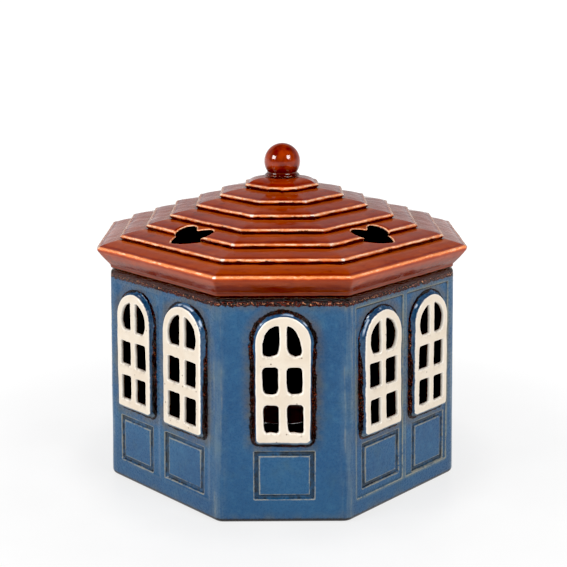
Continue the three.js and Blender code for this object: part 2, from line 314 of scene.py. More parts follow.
def rings(cols, D, S, RC, Z, frac=False):
    """Points (rows, columns, 3), outward directions, u on the side, and distance to the middle of the nearest corner arc. With frac, a column's value is a share of the half side."""
    D, S, RC, Z = [np.asarray(x, float)[:, None] for x in (D, S, RC, Z)]
    side, mode, val = cols["side"], cols["mode"], cols["val"]
    lng = side % 2 == 1
    ph = np.radians(45.0 * side)
    dist = np.where(lng, (D + S / 2) / RT2, D)
    half = np.where(lng, (D - S / 2) / RT2, S / 2)
    tl = RC * math.tan(math.pi / 8)
    ht = np.maximum(half - tl, 0.02)
    uf = np.where(lng, cols["uf"][1], cols["uf"][0])
    if frac:
        u = np.where(mode == 0, val * ht, np.sign(val) * ht)
    else:
        u = np.where(mode == 0, val, np.where(val < 0, -uf - (ht - uf) * (-val), uf + (ht - uf) * val))
    e = np.stack([-np.sin(ph), np.cos(ph)], -1)
    n = np.stack([np.cos(ph), np.sin(ph)], -1)
    xy = dist[..., None] * n + u[..., None] * e
    nrm = np.broadcast_to(n, xy.shape).copy()
    # corner arcs
    arc = mode == 2
    ph2 = ph + math.pi / 4
    dist2 = np.where(lng, D, (D + S / 2) / RT2)
    n2 = np.stack([np.cos(ph2), np.sin(ph2)], -1)
    c45 = math.cos(math.pi / 4)
    # corner point: n.p = dist, n2.p = dist2
    s45 = math.sin(math.pi / 4)
    k1 = (dist - dist2 * c45) / (s45 * s45)
    k2 = (dist2 - dist * c45) / (s45 * s45)
    V = k1[..., None] * n + k2[..., None] * n2
    C = V - (RC / (1 + c45))[..., None] * (n + n2)
    th = ph + val * math.pi / 4
    d = np.stack([np.cos(th), np.sin(th)], -1)
    P = C + RC[..., None] * d
    xy = np.where(arc[None, :, None], P, xy)
    nrm = np.where(arc[None, :, None], np.broadcast_to(d, xy.shape), nrm)
    la = RC * math.pi / 8
    crn = np.where(arc, np.abs(val - 0.5) * 2 * la, (ht - np.abs(u)) + la)
    pos = np.concatenate([xy, np.broadcast_to(Z[..., None], xy.shape[:2] + (1,))], -1)
    nrm = np.concatenate([nrm, np.zeros(nrm.shape[:2] + (1,))], -1)
    return pos, nrm, np.where(arc, np.sign(0.5) * 99.0, u), crn


def wall_at(z):
    t = np.asarray(z, float) / RIM_Z
    return BASE_D + (RIM_D - BASE_D) * t, BASE_S + (RIM_S - BASE_S) * t


def merge_lines(base, extra, gap):
    out = sorted(extra)
    keep = []
    for x in base:
        if min(abs(x - y) for y in out) > gap:
            keep.append(x)
    res = sorted(out + keep)
    fin = [res[0]]
    for x in res[1:]:
        if x - fin[-1] > 0.08:
            fin.append(x)
    return fin


# ------------------------------------------------------------------ house body
def arch_sd(u, w, hw, wb, wc, grow=0.0):
    """Distance from the outline of an arched window, negative inside."""
    side = np.where(w > wc, np.hypot(u, w - wc), np.abs(u)) - hw
    rc = 1.6
    qx, qy = np.abs(u) - (hw - rc), (wb + rc) - w
    corner = np.hypot(np.maximum(qx, 0), np.maximum(qy, 0)) - rc
    low = np.where((qx > 0) & (qy > 0), corner, np.maximum(side, wb - w))
    return np.where(w > wc, side, low) - grow


def rect_sd(u, w, cu, hu, w0, w1, r=0.0):
    qx = np.abs(u - cu) - (hu - r)
    qy = np.abs(w - (w0 + w1) / 2) - ((w1 - w0) / 2 - r)
    return np.hypot(np.maximum(qx, 0), np.maximum(qy, 0)) + np.minimum(np.maximum(qx, qy), 0) - r


# centre, half width, bottom and top of the moulded panels of each side
PANELS = {}
for k in range(8):
    if k % 2 == 0:
        PANELS[k] = [(0.5, 13.0, 10.8, 32.7)]
    elif k in (5, 1):
        PANELS[k] = [(-18.3, 11.5, 9.6, 31.6), (14.4, 12.9, 10.2, 32.0)]
    else:
        PANELS[k] = [(-14.9, 12.5, 12.2, 33.1), (18.2, 11.5, 9.3, 33.0)]
BAYS = {k: [(-16.5, 14.9, 8.9, 94.0), (16.5, 14.9, 8.9, 94.0)] for k in (1, 5)}
BAYS.update({k: [(-15.9, 15.5, 8.9, 94.0), (16.6, 14.8, 8.9, 94.0)] for k in (3, 7)})
SOFT_BAY = (5, 1)


def make_house():
    off_p = [-0.25, 0.0, 0.22, 0.45, 0.7, 1.2, 1.7, 1.95, 2.18, 2.4, 2.65]
    off_b = [-0.3, 0.0, 0.22, 0.45, 0.7, 1.0]

    def crossings(k):
        out = []
        for c, h, w0, w1 in PANELS[k]:
            out += [c - h + o for o in off_p] + [c + h - o for o in off_p]
        for c, h, w0, w1 in BAYS.get(k, []):
            out += [c - h + o for o in off_b] + [c + h - o for o in off_b]
        return out
    step = 1.15
    sx = merge_lines(np.arange(-25, 25.01, step), crossings(0), 0.4)
    lx = merge_lines(np.arange(-33.6, 33.61, step), crossings(5) + crossings(7), 0.4)
    sx = [x for x in sx if abs(x) <= 25.2]
    lx = [x for x in lx if abs(x) <= 33.7]
    cols = columns(sx, lx, 25.2, 33.8, narc=8, ends=3)
    zf = []
    for k in (0, 5, 7):
        for c, h, w0, w1 in PANELS[k]:
            zf += [w0 + o for o in off_p] + [w1 - o for o in off_p]
    for c, h, w0, w1 in BAYS[5]:
        zf += [w0 + o for o in off_b] + [w1 - o for o in off_b]
    zs = merge_lines(np.arange(3.3, 97.3, 1.1), zf, 0.4)
    # profile rows: inset from the wall line, z, part (0 underside, 1 outer wall, 2 rim, 3 inner wall, 4 floor)
    rows = []
    for s in (0.86, 0.55, 0.25):
        rows.append(("s", s, 0.0, 0))
    for a in np.linspace(0, 90, 8):
        a = math.radians(a)
        rows.append(("i", 2.6 - 2.6 * math.sin(a), 2.6 - 2.6 * math.cos(a), 0 if a < 0.05 else 1))
    rows = rows[:3][::-1][::-1] + rows[3:]
    rows = sorted(rows[:3], key=lambda r: r[1]) + rows[3:]
    for z in zs:
        rows.append(("i", 0.0, z, 1))
    rr = 1.7
    for a in np.linspace(0, 90, 7):
        a = math.radians(a)
        rows.append(("i", rr - rr * math.cos(a), RIM_Z - rr + rr * math.sin(a), 1 if a < 0.3 else 2))
    for x in (2.6, 3.4):
        rows.append(("i", x, RIM_Z, 2))
    for a in np.linspace(15, 90, 4):
        a = math.radians(a)
        rows.append(("i", WALL - 0.9 + 0.9 * math.sin(a), RIM_Z - 0.9 + 0.9 * math.cos(a), 3))
    for z in np.linspace(96.5, 9.0, 42):
        rows.append(("i", WALL, z, 3))
    for a in np.linspace(20, 90, 4):
        a = math.radians(a)
        rows.append(("i", WALL + 3 - 3 * math.cos(a), FLOOR + 3 - 3 * math.sin(a), 4))
    for s in (0.85, 0.6, 0.3):
        rows.append(("s", s, FLOOR, 4))
    D, S, Z, part, RC = [], [], [], [], []
    for kind, x, z, p in rows:
        d, s = wall_at(z)
        if kind == "i":
            d, s = d - x, s - SHORT_INSET * x
            rc = max(5.0 - 1.6 * z / RIM_Z - 0.5 * x, 1.0)
        else:
            d, s = wall_at(0)
            m = (d - 3) * x
            s = (s - SHORT_INSET * 3) * x
            d = m
            rc = 1.0
        D.append(d); S.append(s); Z.append(z); part.append(p); RC.append(rc)
    part = np.array(part)
    # inner rows of scaled rings can't hold the fixed columns, so every column is a share of the side there
    pos, nrm, u, crn = rings(cols, D, S, RC, Z)
    scaled = np.array([r[0] == "s" for r in rows])
    ref = int(np.where(~scaled)[0][0])
    for i in np.where(scaled)[0]:
        src = ref if rows[i][3] == 0 else int(np.where(~scaled)[0][-1])
        pos[i, :, :2] = pos[src, :, :2] * rows[i][1]
    R, C = pos.shape[:2]
    side = cols["side"]
    mode = cols["mode"]
    U = np.broadcast_to(u, (R, C)).copy()
    W = pos[..., 2].copy()
    sdB = np.full((R, C), 9.0)
    sdP = np.full((R, C), 9.0)
    sdW = np.full((R, C), 30.0)
    disp = np.zeros((R, C))
    outer = (part == 1) | (part == 2)
    flat = pos.reshape(-1, 3)
    wave = (0.13 * fbm(flat, 22, 2, 3) + 0.05 * fbm(flat, 6, 2, 9)).reshape(R, C)
    for k in range(8):
        m = (side == k) & (mode != 2)
        uu, ww = U[:, m], W[:, m]
        jig = 0.16 * vnoise(pos[:, m].reshape(-1, 3), 9, 40 + k).reshape(uu.shape)
        for c, h, w0, w1 in PANELS[k]:
            sd = rect_sd(uu, ww, c, h, w0, w1, 0.5)
            sdP[:, m] = np.minimum(sdP[:, m], sd)
            d = -sd
            soft = 0.75 if k in SOFT_BAY else 1.0
            disp[:, m] -= 0.85 * soft * smooth(d, -0.1, 0.65) * smooth(2.4 - d, -0.1, 0.65)
        for c, h, w0, w1 in BAYS.get(k, []):
            sd = rect_sd(uu, ww, c, h, w0, w1, 0.6)
            sdB[:, m] = np.minimum(sdB[:, m], sd)
            disp[:, m] -= 0.6 * (smooth(-sd, -0.6, 2.2) if k in SOFT_BAY else smooth(-sd, -0.1, 0.75))
        cs = [0.0] if k % 2 == 0 else [-WIN_U, WIN_U]
        wc, wb = (ARCH_SHORT, WIN_BOTTOM - 1.1) if k % 2 == 0 else (ARCH_LONG, WIN_BOTTOM - 0.8)
        for q, c in enumerate(cs):
            du, dh, dc = FRAMES.get((k, q), (0, 0, 0))
            sdW[:, m] = np.minimum(sdW[:, m], arch_sd(uu - c - du, ww, WIN_HW + dh, wb, wc + dc))
    wave *= 0.25 + 0.75 * smooth(sdW, 2.0, 8.0)
    disp = disp * outer[:, None]
    disp += wave * (part == 1)[:, None] * smooth(W, 1.5, 6) * (1 - smooth(W, 95, 98))
    # glaze has run a little at the rim and pooled round the windows
    disp += 0.10 * (part == 1)[:, None] * np.exp(-((sdW - 2.2) / 0.8) ** 2)
    rimn = fbm(flat, 4.5, 2, 31).reshape(R, C)
    disp += 0.12 * rimn * ((part == 1) | (part == 2))[:, None] * smooth(W, 95.5, 97.5)
    pos = pos + nrm * disp[..., None]
    soup = Soup()
    soft_flag = np.isin(side, SOFT_BAY).astype(float)
    inn = np.where((part == 3) | (part == 4), 1.0, np.where(part == 2, 0.0, 0.0))
    under = (part == 0).astype(float)
    ids = soup.add(pos.reshape(-1, 3), sdB=sdB.ravel(), sdP=sdP.ravel(), sdW=sdW.ravel(), crn=crn.ravel(),
                   soft=np.broadcast_to(soft_flag, (R, C)).ravel(), inn=np.repeat(inn, C), und=np.repeat(under, C)).reshape(R, C)
    ends = soup.add([[0, 0, 0.0], [0, 0, FLOOR]], sdB=9, sdP=9, sdW=30, crn=30, soft=0, inn=np.array([0.0, 1.0]), und=np.array([1.0, 0.0]))
    quads = grid_quads(ids)
    rowq = np.repeat(np.arange(R - 1), C)
    is_out = (part[rowq] <= 1) & (part[rowq + 1] <= 1) & (part[rowq + 1] == 1)
    is_in = (part[rowq] == 3) & (part[rowq + 1] == 3)
    rest = quads[~(is_out | is_in)]
    soup.quads(rest)
    f = sdW.ravel() - 0.45
    f = np.concatenate([f, [30, 30]])
    wo, po, eo = clip_quads(soup, quads[is_out], f)
    f2 = np.concatenate([f, np.ones(soup.n - len(f))])
    wi, pi, ei = clip_quads(soup, quads[is_in], f2)
    soup.quads(wo); soup.polys(po)
    soup.quads(wi); soup.polys(pi)
    lo_, li_ = chain(eo), chain(ei)
    P = soup.points()
    ci = [P[l].mean(0) for l in li_]
    for l in lo_:
        c = P[l].mean(0)
        j = int(np.argmin([np.linalg.norm(c - x) for x in ci]))
        stitch(soup, l, li_[j][::-1])
    soup.tris(fan(ids[0], ends[0], True))
    soup.tris(fan(ids[-1], ends[1]))
    return soup.build("house_pottery")


# ------------------------------------------------------------------ windows
def chaikin(poly, times=2):
    P = np.asarray(poly, float)
    for _ in range(times):
        Q = np.roll(P, -1, 0)
        P = np.stack([P * 0.84 + Q * 0.16, P * 0.16 + Q * 0.84], 1).reshape(-1, 2)
    return P


def poly_sd(u, w, poly):
    """Signed distance to a closed polygon, negative inside."""
    P = np.asarray(poly, float)
    d = np.full(u.shape, 1e9)
    ins = np.zeros(u.shape, bool)
    for i in range(len(P)):
        a, b = P[i], P[(i + 1) % len(P)]
        ab = b - a
        t = np.clip(((u - a[0]) * ab[0] + (w - a[1]) * ab[1]) / max(ab @ ab, 1e-9), 0, 1)
        d = np.minimum(d, np.hypot(u - a[0] - t * ab[0], w - a[1] - t * ab[1]))
        c = (a[1] > w) != (b[1] > w)
        x = (b[0] - a[0]) * (w - a[1]) / ((b[1] - a[1]) if abs(b[1] - a[1]) > 1e-9 else 1e-9) + a[0]
        ins ^= c & (u < x)
    return np.where(ins, -d, d)


FRONT_PANES = [
    [(-8.5, 75.4), (-8.5, 80.0), (-7.6, 84.0), (-5.7, 86.7), (-3.2, 88.0), (-1.6, 87.9), (-1.4, 86.4), (-1.4, 79.0), (-2.2, 75.6), (-5.2, 74.7)],
    [(1.5, 88.0), (3.6, 87.3), (5.7, 85.0), (7.1, 81.5), (7.9, 77.0), (7.2, 75.2), (4.6, 74.8), (2.3, 76.2), (1.5, 78.6)],
    [(-8.8, 70.3), (-2.0, 70.4), (-1.9, 65.0), (-2.0, 59.9), (-3.0, 58.6), (-5.4, 58.4), (-7.5, 58.9), (-8.5, 60.4)],
    [(1.2, 70.3), (7.9, 70.2), (8.1, 65.0), (8.0, 59.2), (6.2, 58.6), (3.4, 58.5), (1.6, 60.0)],
    [(-8.5, 53.9), (-1.8, 53.9), (-1.8, 48.0), (-1.7, 42.0), (-2.8, 41.3), (-5.0, 41.9), (-7.2, 41.5), (-8.2, 43.2)],
    [(1.3, 54.2), (8.4, 54.0), (8.5, 48.0), (8.6, 41.6), (6.7, 41.4), (4.6, 41.9), (2.8, 41.7), (1.9, 43.4)],
]


def pane_sd(u, w, wc, rng, front, more=0.0):
    out = np.full(u.shape, 50.0)
    if front:
        for poly in FRONT_PANES:
            out = np.minimum(out, poly_sd(u, w, chaikin(poly, 2)))
        return out
    hb = wc - ARCH_SHORT
    mid = rng.uniform(-0.35, 0.35)
    for s in (-1, 1):
        for w0, w1 in ((41.5, 53.2), (57.9, 69.3)) if hb else ((41.9, 54.2), (58.9, 70.5)):
            a = 1.7 + s * mid + rng.uniform(-0.15, 0.2)
            b = 8.5 + more + rng.uniform(-0.3, 0.3)
            q0, q1 = w0 + rng.uniform(-0.35, 0.4) + hb * 0.3, w1 + rng.uniform(-0.35, 0.35) + hb * 0.5
            sk = rng.uniform(-0.035, 0.035)
            uu = u - sk * (w - (q0 + q1) / 2)
            out = np.minimum(out, rect_sd(uu, w, s * (a + b) / 2, (b - a) / 2, q0, q1, 0.6))
        a = 1.7 + s * mid
        r = 8.45 + more + rng.uniform(-0.3, 0.3)
        low = 75.9 + hb * 1.7 + rng.uniform(-0.3, 0.3)
        e1 = np.hypot(u, w - (wc - 0.6)) - r
        e2 = a - s * u
        e3 = low - w
        k = 0.7
        m = np.maximum(np.maximum(e1, e2), e3)
        # rounded where two of the edges meet
        for x, y in ((e1, e2), (e2, e3), (e1, e3)):
            m = np.maximum(m, np.where((x > -k) & (y > -k), np.hypot(x + k, y + k) - k, -9))
        e1b = np.abs(u) - r
        m = np.where(w < wc - 0.6, np.maximum(m, np.maximum(np.maximum(e1b, e2), e3)), m)
        out = np.minimum(out, m)
    return out


def make_window(k, cu, node, index):
    long = k % 2 == 1
    du, dh, dc = FRAMES.get((k, int(cu > 0)), (0, 0, 0)) if long else (0, 0, 0)
    cu, hw = cu + du, WIN_HW + dh
    wc = ARCH_LONG + dc if long else ARCH_SHORT
    wb = WIN_BOTTOM - (0.8 if long else 1.1)
    front = k == 6
    rng = np.random.default_rng(1000 + index * 7)
    h = 0.36
    us = np.arange(-hw - 3 * h, hw + 3.01 * h, h)
    ws = np.arange(wb - 3 * h, wc + hw + 3.01 * h, h)
    Ug, Wg = np.meshgrid(us, ws)
    flat3 = np.stack([Ug.ravel() + 50 * index, Wg.ravel(), np.full(Ug.size, 7.0 * index)], 1)
    wob = (0.16 * vnoise(flat3, 7, 60) + 0.07 * vnoise(flat3, 2.6, 61)).reshape(Ug.shape)
    so = arch_sd(Ug, Wg, hw, wb, wc) + wob
    if front:
        nip = -(Ug + 11.6) * 0.9 - (Wg - 38.0) * 0.45 - 0.3
        so = np.maximum(so, np.minimum(nip, 3.0) * 0.7)
    sp = pane_sd(Ug, Wg, wc, rng, front, 0.85 * dh)
    torn = vnoise(flat3, 1.1, 62).reshape(Ug.shape)
    pw = (0.05 if front else 0.13) * vnoise(flat3, 3.0, 63).reshape(Ug.shape)
    sp = sp + pw + 0.10 * torn
    f = np.minimum(-so, sp)
    soup = Soup()
    n0 = Ug.size
    ids = soup.add(np.stack([Ug, Wg, np.zeros_like(Ug)], -1).reshape(-1, 3), so=so.ravel(), sp=sp.ravel()).reshape(Ug.shape)
    quads = grid_quads(ids, wrap=False)
    whole, polys, edges = clip_quads(soup, quads, f.ravel())
    P = soup.points()
    SO, SP = soup.attr("so"), soup.attr("sp")
    # height of the front face, with rounded edges
    r_o, r_p = 1.0, 0.75
    do, dp = np.clip(-SO, 0, r_o), np.clip(SP, 0, r_p)
    z = RELIEF - (r_o - np.sqrt(np.maximum(r_o ** 2 - (r_o - do) ** 2, 0))) - (r_p - np.sqrt(np.maximum(r_p ** 2 - (r_p - dp) ** 2, 0)))
    p3 = np.stack([P[:, 0] + 50 * index, P[:, 1], np.full(len(P), 3.0)], 1)
    z += 0.10 * vnoise(p3, 6, 70) + 0.035 * vnoise(p3, 2.0, 71)
    z = np.minimum(z, RELIEF)
    V = np.stack([P[:, 0], P[:, 1], z], 1)
    out = Soup()
    cutv = 0.3 if front else 0.22
    # how much a point lies just under a pane, on its sill
    gw0 = np.gradient(sp, h, axis=0)
    fx0, fy0 = (P[:, 0] - us[0]) / h, (P[:, 1] - ws[0]) / h
    i00, j00 = np.clip(np.round(fx0).astype(int), 0, len(us) - 1), np.clip(np.round(fy0).astype(int), 0, len(ws) - 1)
    sill = np.clip(-gw0[j00, i00], 0, 1) ** 2 * np.exp(-np.maximum(SP, 0) / 0.9)
    fid = out.add(V, cut=cutv, sill=sill, hgt=z, od=0.0, rv=0.0, so=-SO, sp=SP)
    out.quads(whole)
    out.polys(polys)
    # boundary vertices
    b = sorted({i for e in edges for i in e})
    bi = {v: j for j, v in enumerate(b)}
    B = P[b][:, :2]
    is_out = (np.abs(SO[b]) < np.abs(SP[b]))
    eps = 0.12

    def outline(u, w):
        return arch_sd(u, w, hw, wb, wc)
    g = np.stack([outline(B[:, 0] + eps, B[:, 1]) - outline(B[:, 0] - eps, B[:, 1]),
                  outline(B[:, 0], B[:, 1] + eps) - outline(B[:, 0], B[:, 1] - eps)], 1)
    g /= np.maximum(np.linalg.norm(g, axis=1, keepdims=True), 1e-6)
    # pane direction: into the opening, from the grid's own distance
    gu = np.gradient(sp, h, axis=1)
    gw = np.gradient(sp, h, axis=0)

    def sample(G, pts):
        x = (pts[:, 0] - us[0]) / h
        y = (pts[:, 1] - ws[0]) / h
        i0 = np.clip(x.astype(int), 0, len(us) - 2)
        j0 = np.clip(y.astype(int), 0, len(ws) - 2)
        fx, fy = x - i0, y - j0
        return (G[j0, i0] * (1 - fx) + G[j0, i0 + 1] * fx) * (1 - fy) + (G[j0 + 1, i0] * (1 - fx) + G[j0 + 1, i0 + 1] * fx) * fy
    gp = np.stack([sample(gu, B), sample(gw, B)], 1)
    gp /= np.maximum(np.linalg.norm(gp, axis=1, keepdims=True), 1e-6)
    zb = z[b]
    ring_o = [(0.22, 1.45), (0.5, 1.0), (0.85, 0.62), (1.25, 0.34), (1.7, 0.14), (2.15, 0.0), (2.5, -0.3), (0.3, -0.35), (-0.05, -1.2), (-0.05, -2.5)]
    ring_p = [(-0.05, 1.3), (-0.12, 0.6), (-0.2, -0.1), (-0.28, -0.8), (-0.33, -1.4), (-0.37, -1.9), (-0.4, -2.25), (-0.3, -2.42), (-0.1, -2.48), (0.0, -2.5)]
    nring = len(ring_o)
    idx = [np.asarray([fid[i] for i in b])]
    jag = vnoise(np.stack([B[:, 0] + 50 * index, B[:, 1], np.zeros(len(B))], 1), 1.6, 77)
    jag2 = vnoise(np.stack([B[:, 0] + 50 * index, B[:, 1], np.zeros(len(B))], 1), 4.5, 78)
    for q in range(nring):
        oo, zo = ring_o[q]
        op, zp = ring_p[q]
        if 2 <= q <= 6:
            zo = zo + 0.10 * jag
            oo = oo + 0.12 * jag2
        pts = np.where(is_out[:, None], B + g * (oo * np.ones(len(B)))[:, None], B + gp * op)
        zz = np.where(is_out, zo, zp)
        zz = np.minimum(zz, np.where(is_out, zb, zb) - 0.03)
        idx.append(out.add(np.stack([pts[:, 0], pts[:, 1], zz], 1), cut=cutv, sill=0.0, hgt=zz, od=np.where(is_out, np.maximum(oo, 0.05), 0.0),
                           rv=np.where(is_out, 0.0, (1.9 - zz) / 4.4), so=np.where(is_out, -oo, 9.0), sp=np.where(is_out, 9.0, op)))
    E = np.array([(bi[a], bi[c]) for a, c in edges])
    for q in range(nring):
        A, Bn = idx[q], idx[q + 1]
        out.quads(np.stack([A[E[:, 1]], A[E[:, 0]], Bn[E[:, 0]], Bn[E[:, 1]]], 1))
    # back face
    last = idx[-1]
    vb = V.copy()
    vb[:, 2] = -2.5
    bid = out.add(vb, cut=cutv, sill=0.0, hgt=-2.5, od=0.0, rv=1.0, so=9.0, sp=9.0)
    remap = bid.copy()
    for v, j in bi.items():
        remap[v] = last[j]
    out.quads(remap[whole][:, ::-1] if len(whole) else np.zeros((0, 4)))
    out.polys([[int(remap[i]) for i in reversed(p)] for p in polys])
    # place it on the wall
    L = out.points()
    ph = math.radians(PHI[k])
    d0 = (BASE_D + BASE_S / 2) / RT2 if long else BASE_D
    d1 = (RIM_D + RIM_S / 2) / RT2 if long else RIM_D
    lean = math.atan2(d0 - d1, RIM_Z)
    e = np.array([-math.sin(ph), math.cos(ph), 0])
    n = np.array([math.cos(ph) * math.cos(lean), math.sin(ph) * math.cos(lean), math.sin(lean)])
    w = np.array([-math.cos(ph) * math.sin(lean), -math.sin(ph) * math.sin(lean), math.cos(lean)])
    O = d0 * np.array([math.cos(ph), math.sin(ph), 0])
    off = -0.6 if long else -0.5 if k in (0, 4) else 0.0
    G = O + np.outer(L[:, 0] + cu, e) + np.outer(L[:, 1], w) + np.outer(L[:, 2] + off, n)
    out.v = [G]
    ob = out.build("glazed_" + node)
    return ob


# ------------------------------------------------------------------ roof
HEART = np.array([[-3.5, -8.7], [-5.9, -6.3], [-8.1, -2.4], [-9.4, 1.7], [-8.9, 6.1], [-6.7, 8.5], [-3.2, 7.5], [0.2, 4.1],
                  [2.5, 6.7], [5.8, 8.4], [8.9, 6.7], [9.9, 3.3], [9.1, -0.1], [7.6, -2.4], [5.0, -5.0], [1.4, -7.4]])
SLOPE = math.radians(20.9)
VENT_R, VENT_Z = 56.8, 117.8


def heart_local(P, k):
    """x along the side and y up the slope of the points, about the middle of that side's heart, and the height over the slope."""
    ph = math.radians(PHI[k])
    e = np.array([-math.sin(ph), math.cos(ph), 0])
    rad = np.array([math.cos(ph), math.sin(ph), 0])
    up = -rad * math.cos(SLOPE) + np.array([0, 0, math.sin(SLOPE)])
    nn = rad * math.sin(SLOPE) + np.array([0, 0, math.cos(SLOPE)])
    q = P - (rad * VENT_R + np.array([0, 0, VENT_Z]))
    return q @ e, q @ up, q @ nn, e, up, nn


def heart_poly(k):
    mirror = 1 if k in (7, 3) else -1
    P = HEART.copy()
    P[:, 0] *= -mirror
    if mirror == 1:
        P = P[::-1]
    return chaikin(P, 2)


def make_roof():
    rows = []     # D, S, z, corner radius, distance to the lip crest, distance to the riser's foot, kind

    def row(d, s, inset, z, rc, lc, lr, kind, wv=1.0):
        rows.append((d - inset, s - SHORT_INSET * inset, z, rc, lc, lr, kind, wv))
    # outer foot and fascia
    D0, S0 = RIM_D - 0.1, RIM_S
    for x, z in ((1.3, 99.5), (0.9, 99.55), (0.45, 99.8), (0.18, 100.15), (0.05, 100.6), (0, 101.2)):
        row(D0, S0, x, z, 1.6, 9, 9, 0)
    L0 = LIPS[0]
    for t in np.linspace(0.12, 0.94, 9):
        row(D0 + (L0[0] - D0) * t, S0 + (L0[1] - S0) * t, -0.25 * math.sin(math.pi * t), 101.2 + (108.2 - 101.2) * t, 1.6, (1 - t) * 8 + 0.9, 9, 0)

    def lip(j):
        d, s, z = LIPS[j]
        rc = 2.1 - 0.1 * j
        for x, dz, lc in ((0.16, -0.85, 1.1), (0.03, -0.50, 0.75), (0.0, -0.20, 0.45), (0.10, 0.06, 0.2), (0.32, 0.28, 0.0), (0.68, 0.45, 0.3), (1.20, 0.58, 0.8), (1.80, 0.68, 1.4)):
            row(d, s, x, z + dz, rc, lc, 9 if j == 0 else 1.35 + dz, 1)
    lip(0)
    for j in range(1, 7):
        d0, s0, z0 = LIPS[j - 1]
        d1, s1, z1 = LIPS[j]
        a = np.array([d0 - 1.80, s0 - SHORT_INSET * 1.80, z0 + 0.68])
        b = np.array([d1 - 0.95, s1 - SHORT_INSET * 0.95, z1 - 1.42])
        ln = math.hypot(a[0] - b[0], a[2] - b[2])
        for t in np.linspace(0, 1, 12)[1:]:
            p = a + (b - a) * t
            bulge = 0.24 * math.sin(math.pi * t ** 0.75) ** 0.8
            row(p[0], p[1], 0, p[2] + bulge, 2.1 - 0.1 * j, 1.4 + ln * t, ln * (1 - t), 2)
        for x, dz in ((0.72, -1.4), (0.55, -1.25), (0.42, -1.0)):
            row(d1, s1, x, z1 + dz, 1.5 - 0.1 * j, -dz * 0.8, 1.42 + dz, 3)
        lip(j)
    d0, s0, z0 = LIPS[6]
    a = np.array([d0 - 1.80, s0 - SHORT_INSET * 1.80, z0 + 0.68])
    b = np.array([CAP[0], CAP[1], CAP_TOP])
    for t in np.linspace(0, 1, 14)[1:]:
        p = a + (b - a) * t
        row(p[0], p[1], 0, p[2] + 0.5 * math.sin(math.pi * t ** 0.8), 0.9 + 1.5 * t, 0.9 + 9 * t, 9, 2)
    row(6.6, 5.4, 0, CAP_TOP, 2.3, 9, 9, 4, 0)
    row(3.0, 2.4, 0, CAP_TOP, 1.0, 9, 9, 4, 0)
    R = np.array([r[:8] for r in rows], float)
    fr_s = np.linspace(-1, 1, 50)
    fr_l = np.linspace(-1, 1, 68)
    cols = columns(list(fr_s[1:-1]), list(fr_l[1:-1]), 1, 1, narc=5, ends=1)
    pos, nrm, u, crn = rings(cols, R[:, 0], R[:, 1], R[:, 3], R[:, 2], frac=True)
    nr, nc = pos.shape[:2]
    side, mode = cols["side"], cols["mode"]
    flat = pos.reshape(-1, 3)
    near = np.exp(-(R[:, 4] / 1.3) ** 2)[:, None]
    kn = R[:, 6][:, None]
    wv = R[:, 7][:, None]
    lvl = np.floor((flat[:, 2] + 1.3) / 4.1)
    cp = np.stack([flat[:, 0], flat[:, 1], lvl * 40.0], 1)       # one waviness for each course
    wav = vnoise(cp, 11, 5).reshape(nr, nc)
    wav2 = vnoise(cp, 3.4, 6).reshape(nr, nc)
    wav3 = vnoise(cp, 1.5, 7).reshape(nr, nc)
    rad = (0.22 * wav + 0.14 * wav2 + 0.13 * wav3) * near * (kn >= 1) * wv
    upz = (0.12 * vnoise(cp, 9, 8).reshape(nr, nc) + 0.08 * vnoise(cp, 2.6, 9).reshape(nr, nc)) * near * (kn >= 1) * wv
    body = (0.10 * fbm(flat, 13, 2, 11) + 0.03 * fbm(flat, 3, 2, 12)).reshape(nr, nc) * wv
    foot = 0.16 * fbm(flat, 3.2, 2, 13).reshape(nr, nc) * (R[:, 2] < 101.3)[:, None]
    pos = pos + nrm * (rad + 0.5 * body * (kn == 0) + foot)[..., None]
    pos[..., 2] += upz + body * (kn >= 1) * (R[:, 2] > 104)[:, None]
    # keep the underside of the foot flat
    pos[0, :, 2] = 99.5
    pos[..., 2] = np.maximum(pos[..., 2], 99.5)
    # nothing stands outside the eave of the CAD
    lim = np.where(side % 2 == 1, (83.0 + 27.9) / RT2, 83.0)
    hx = np.cos(np.radians(45.0 * side)), np.sin(np.radians(45.0 * side))
    dd = pos[..., 0] * hx[0] + pos[..., 1] * hx[1]
    over = np.maximum(dd - lim, 0)
    pos[..., 0] -= over * hx[0]
    pos[..., 1] -= over * hx[1]
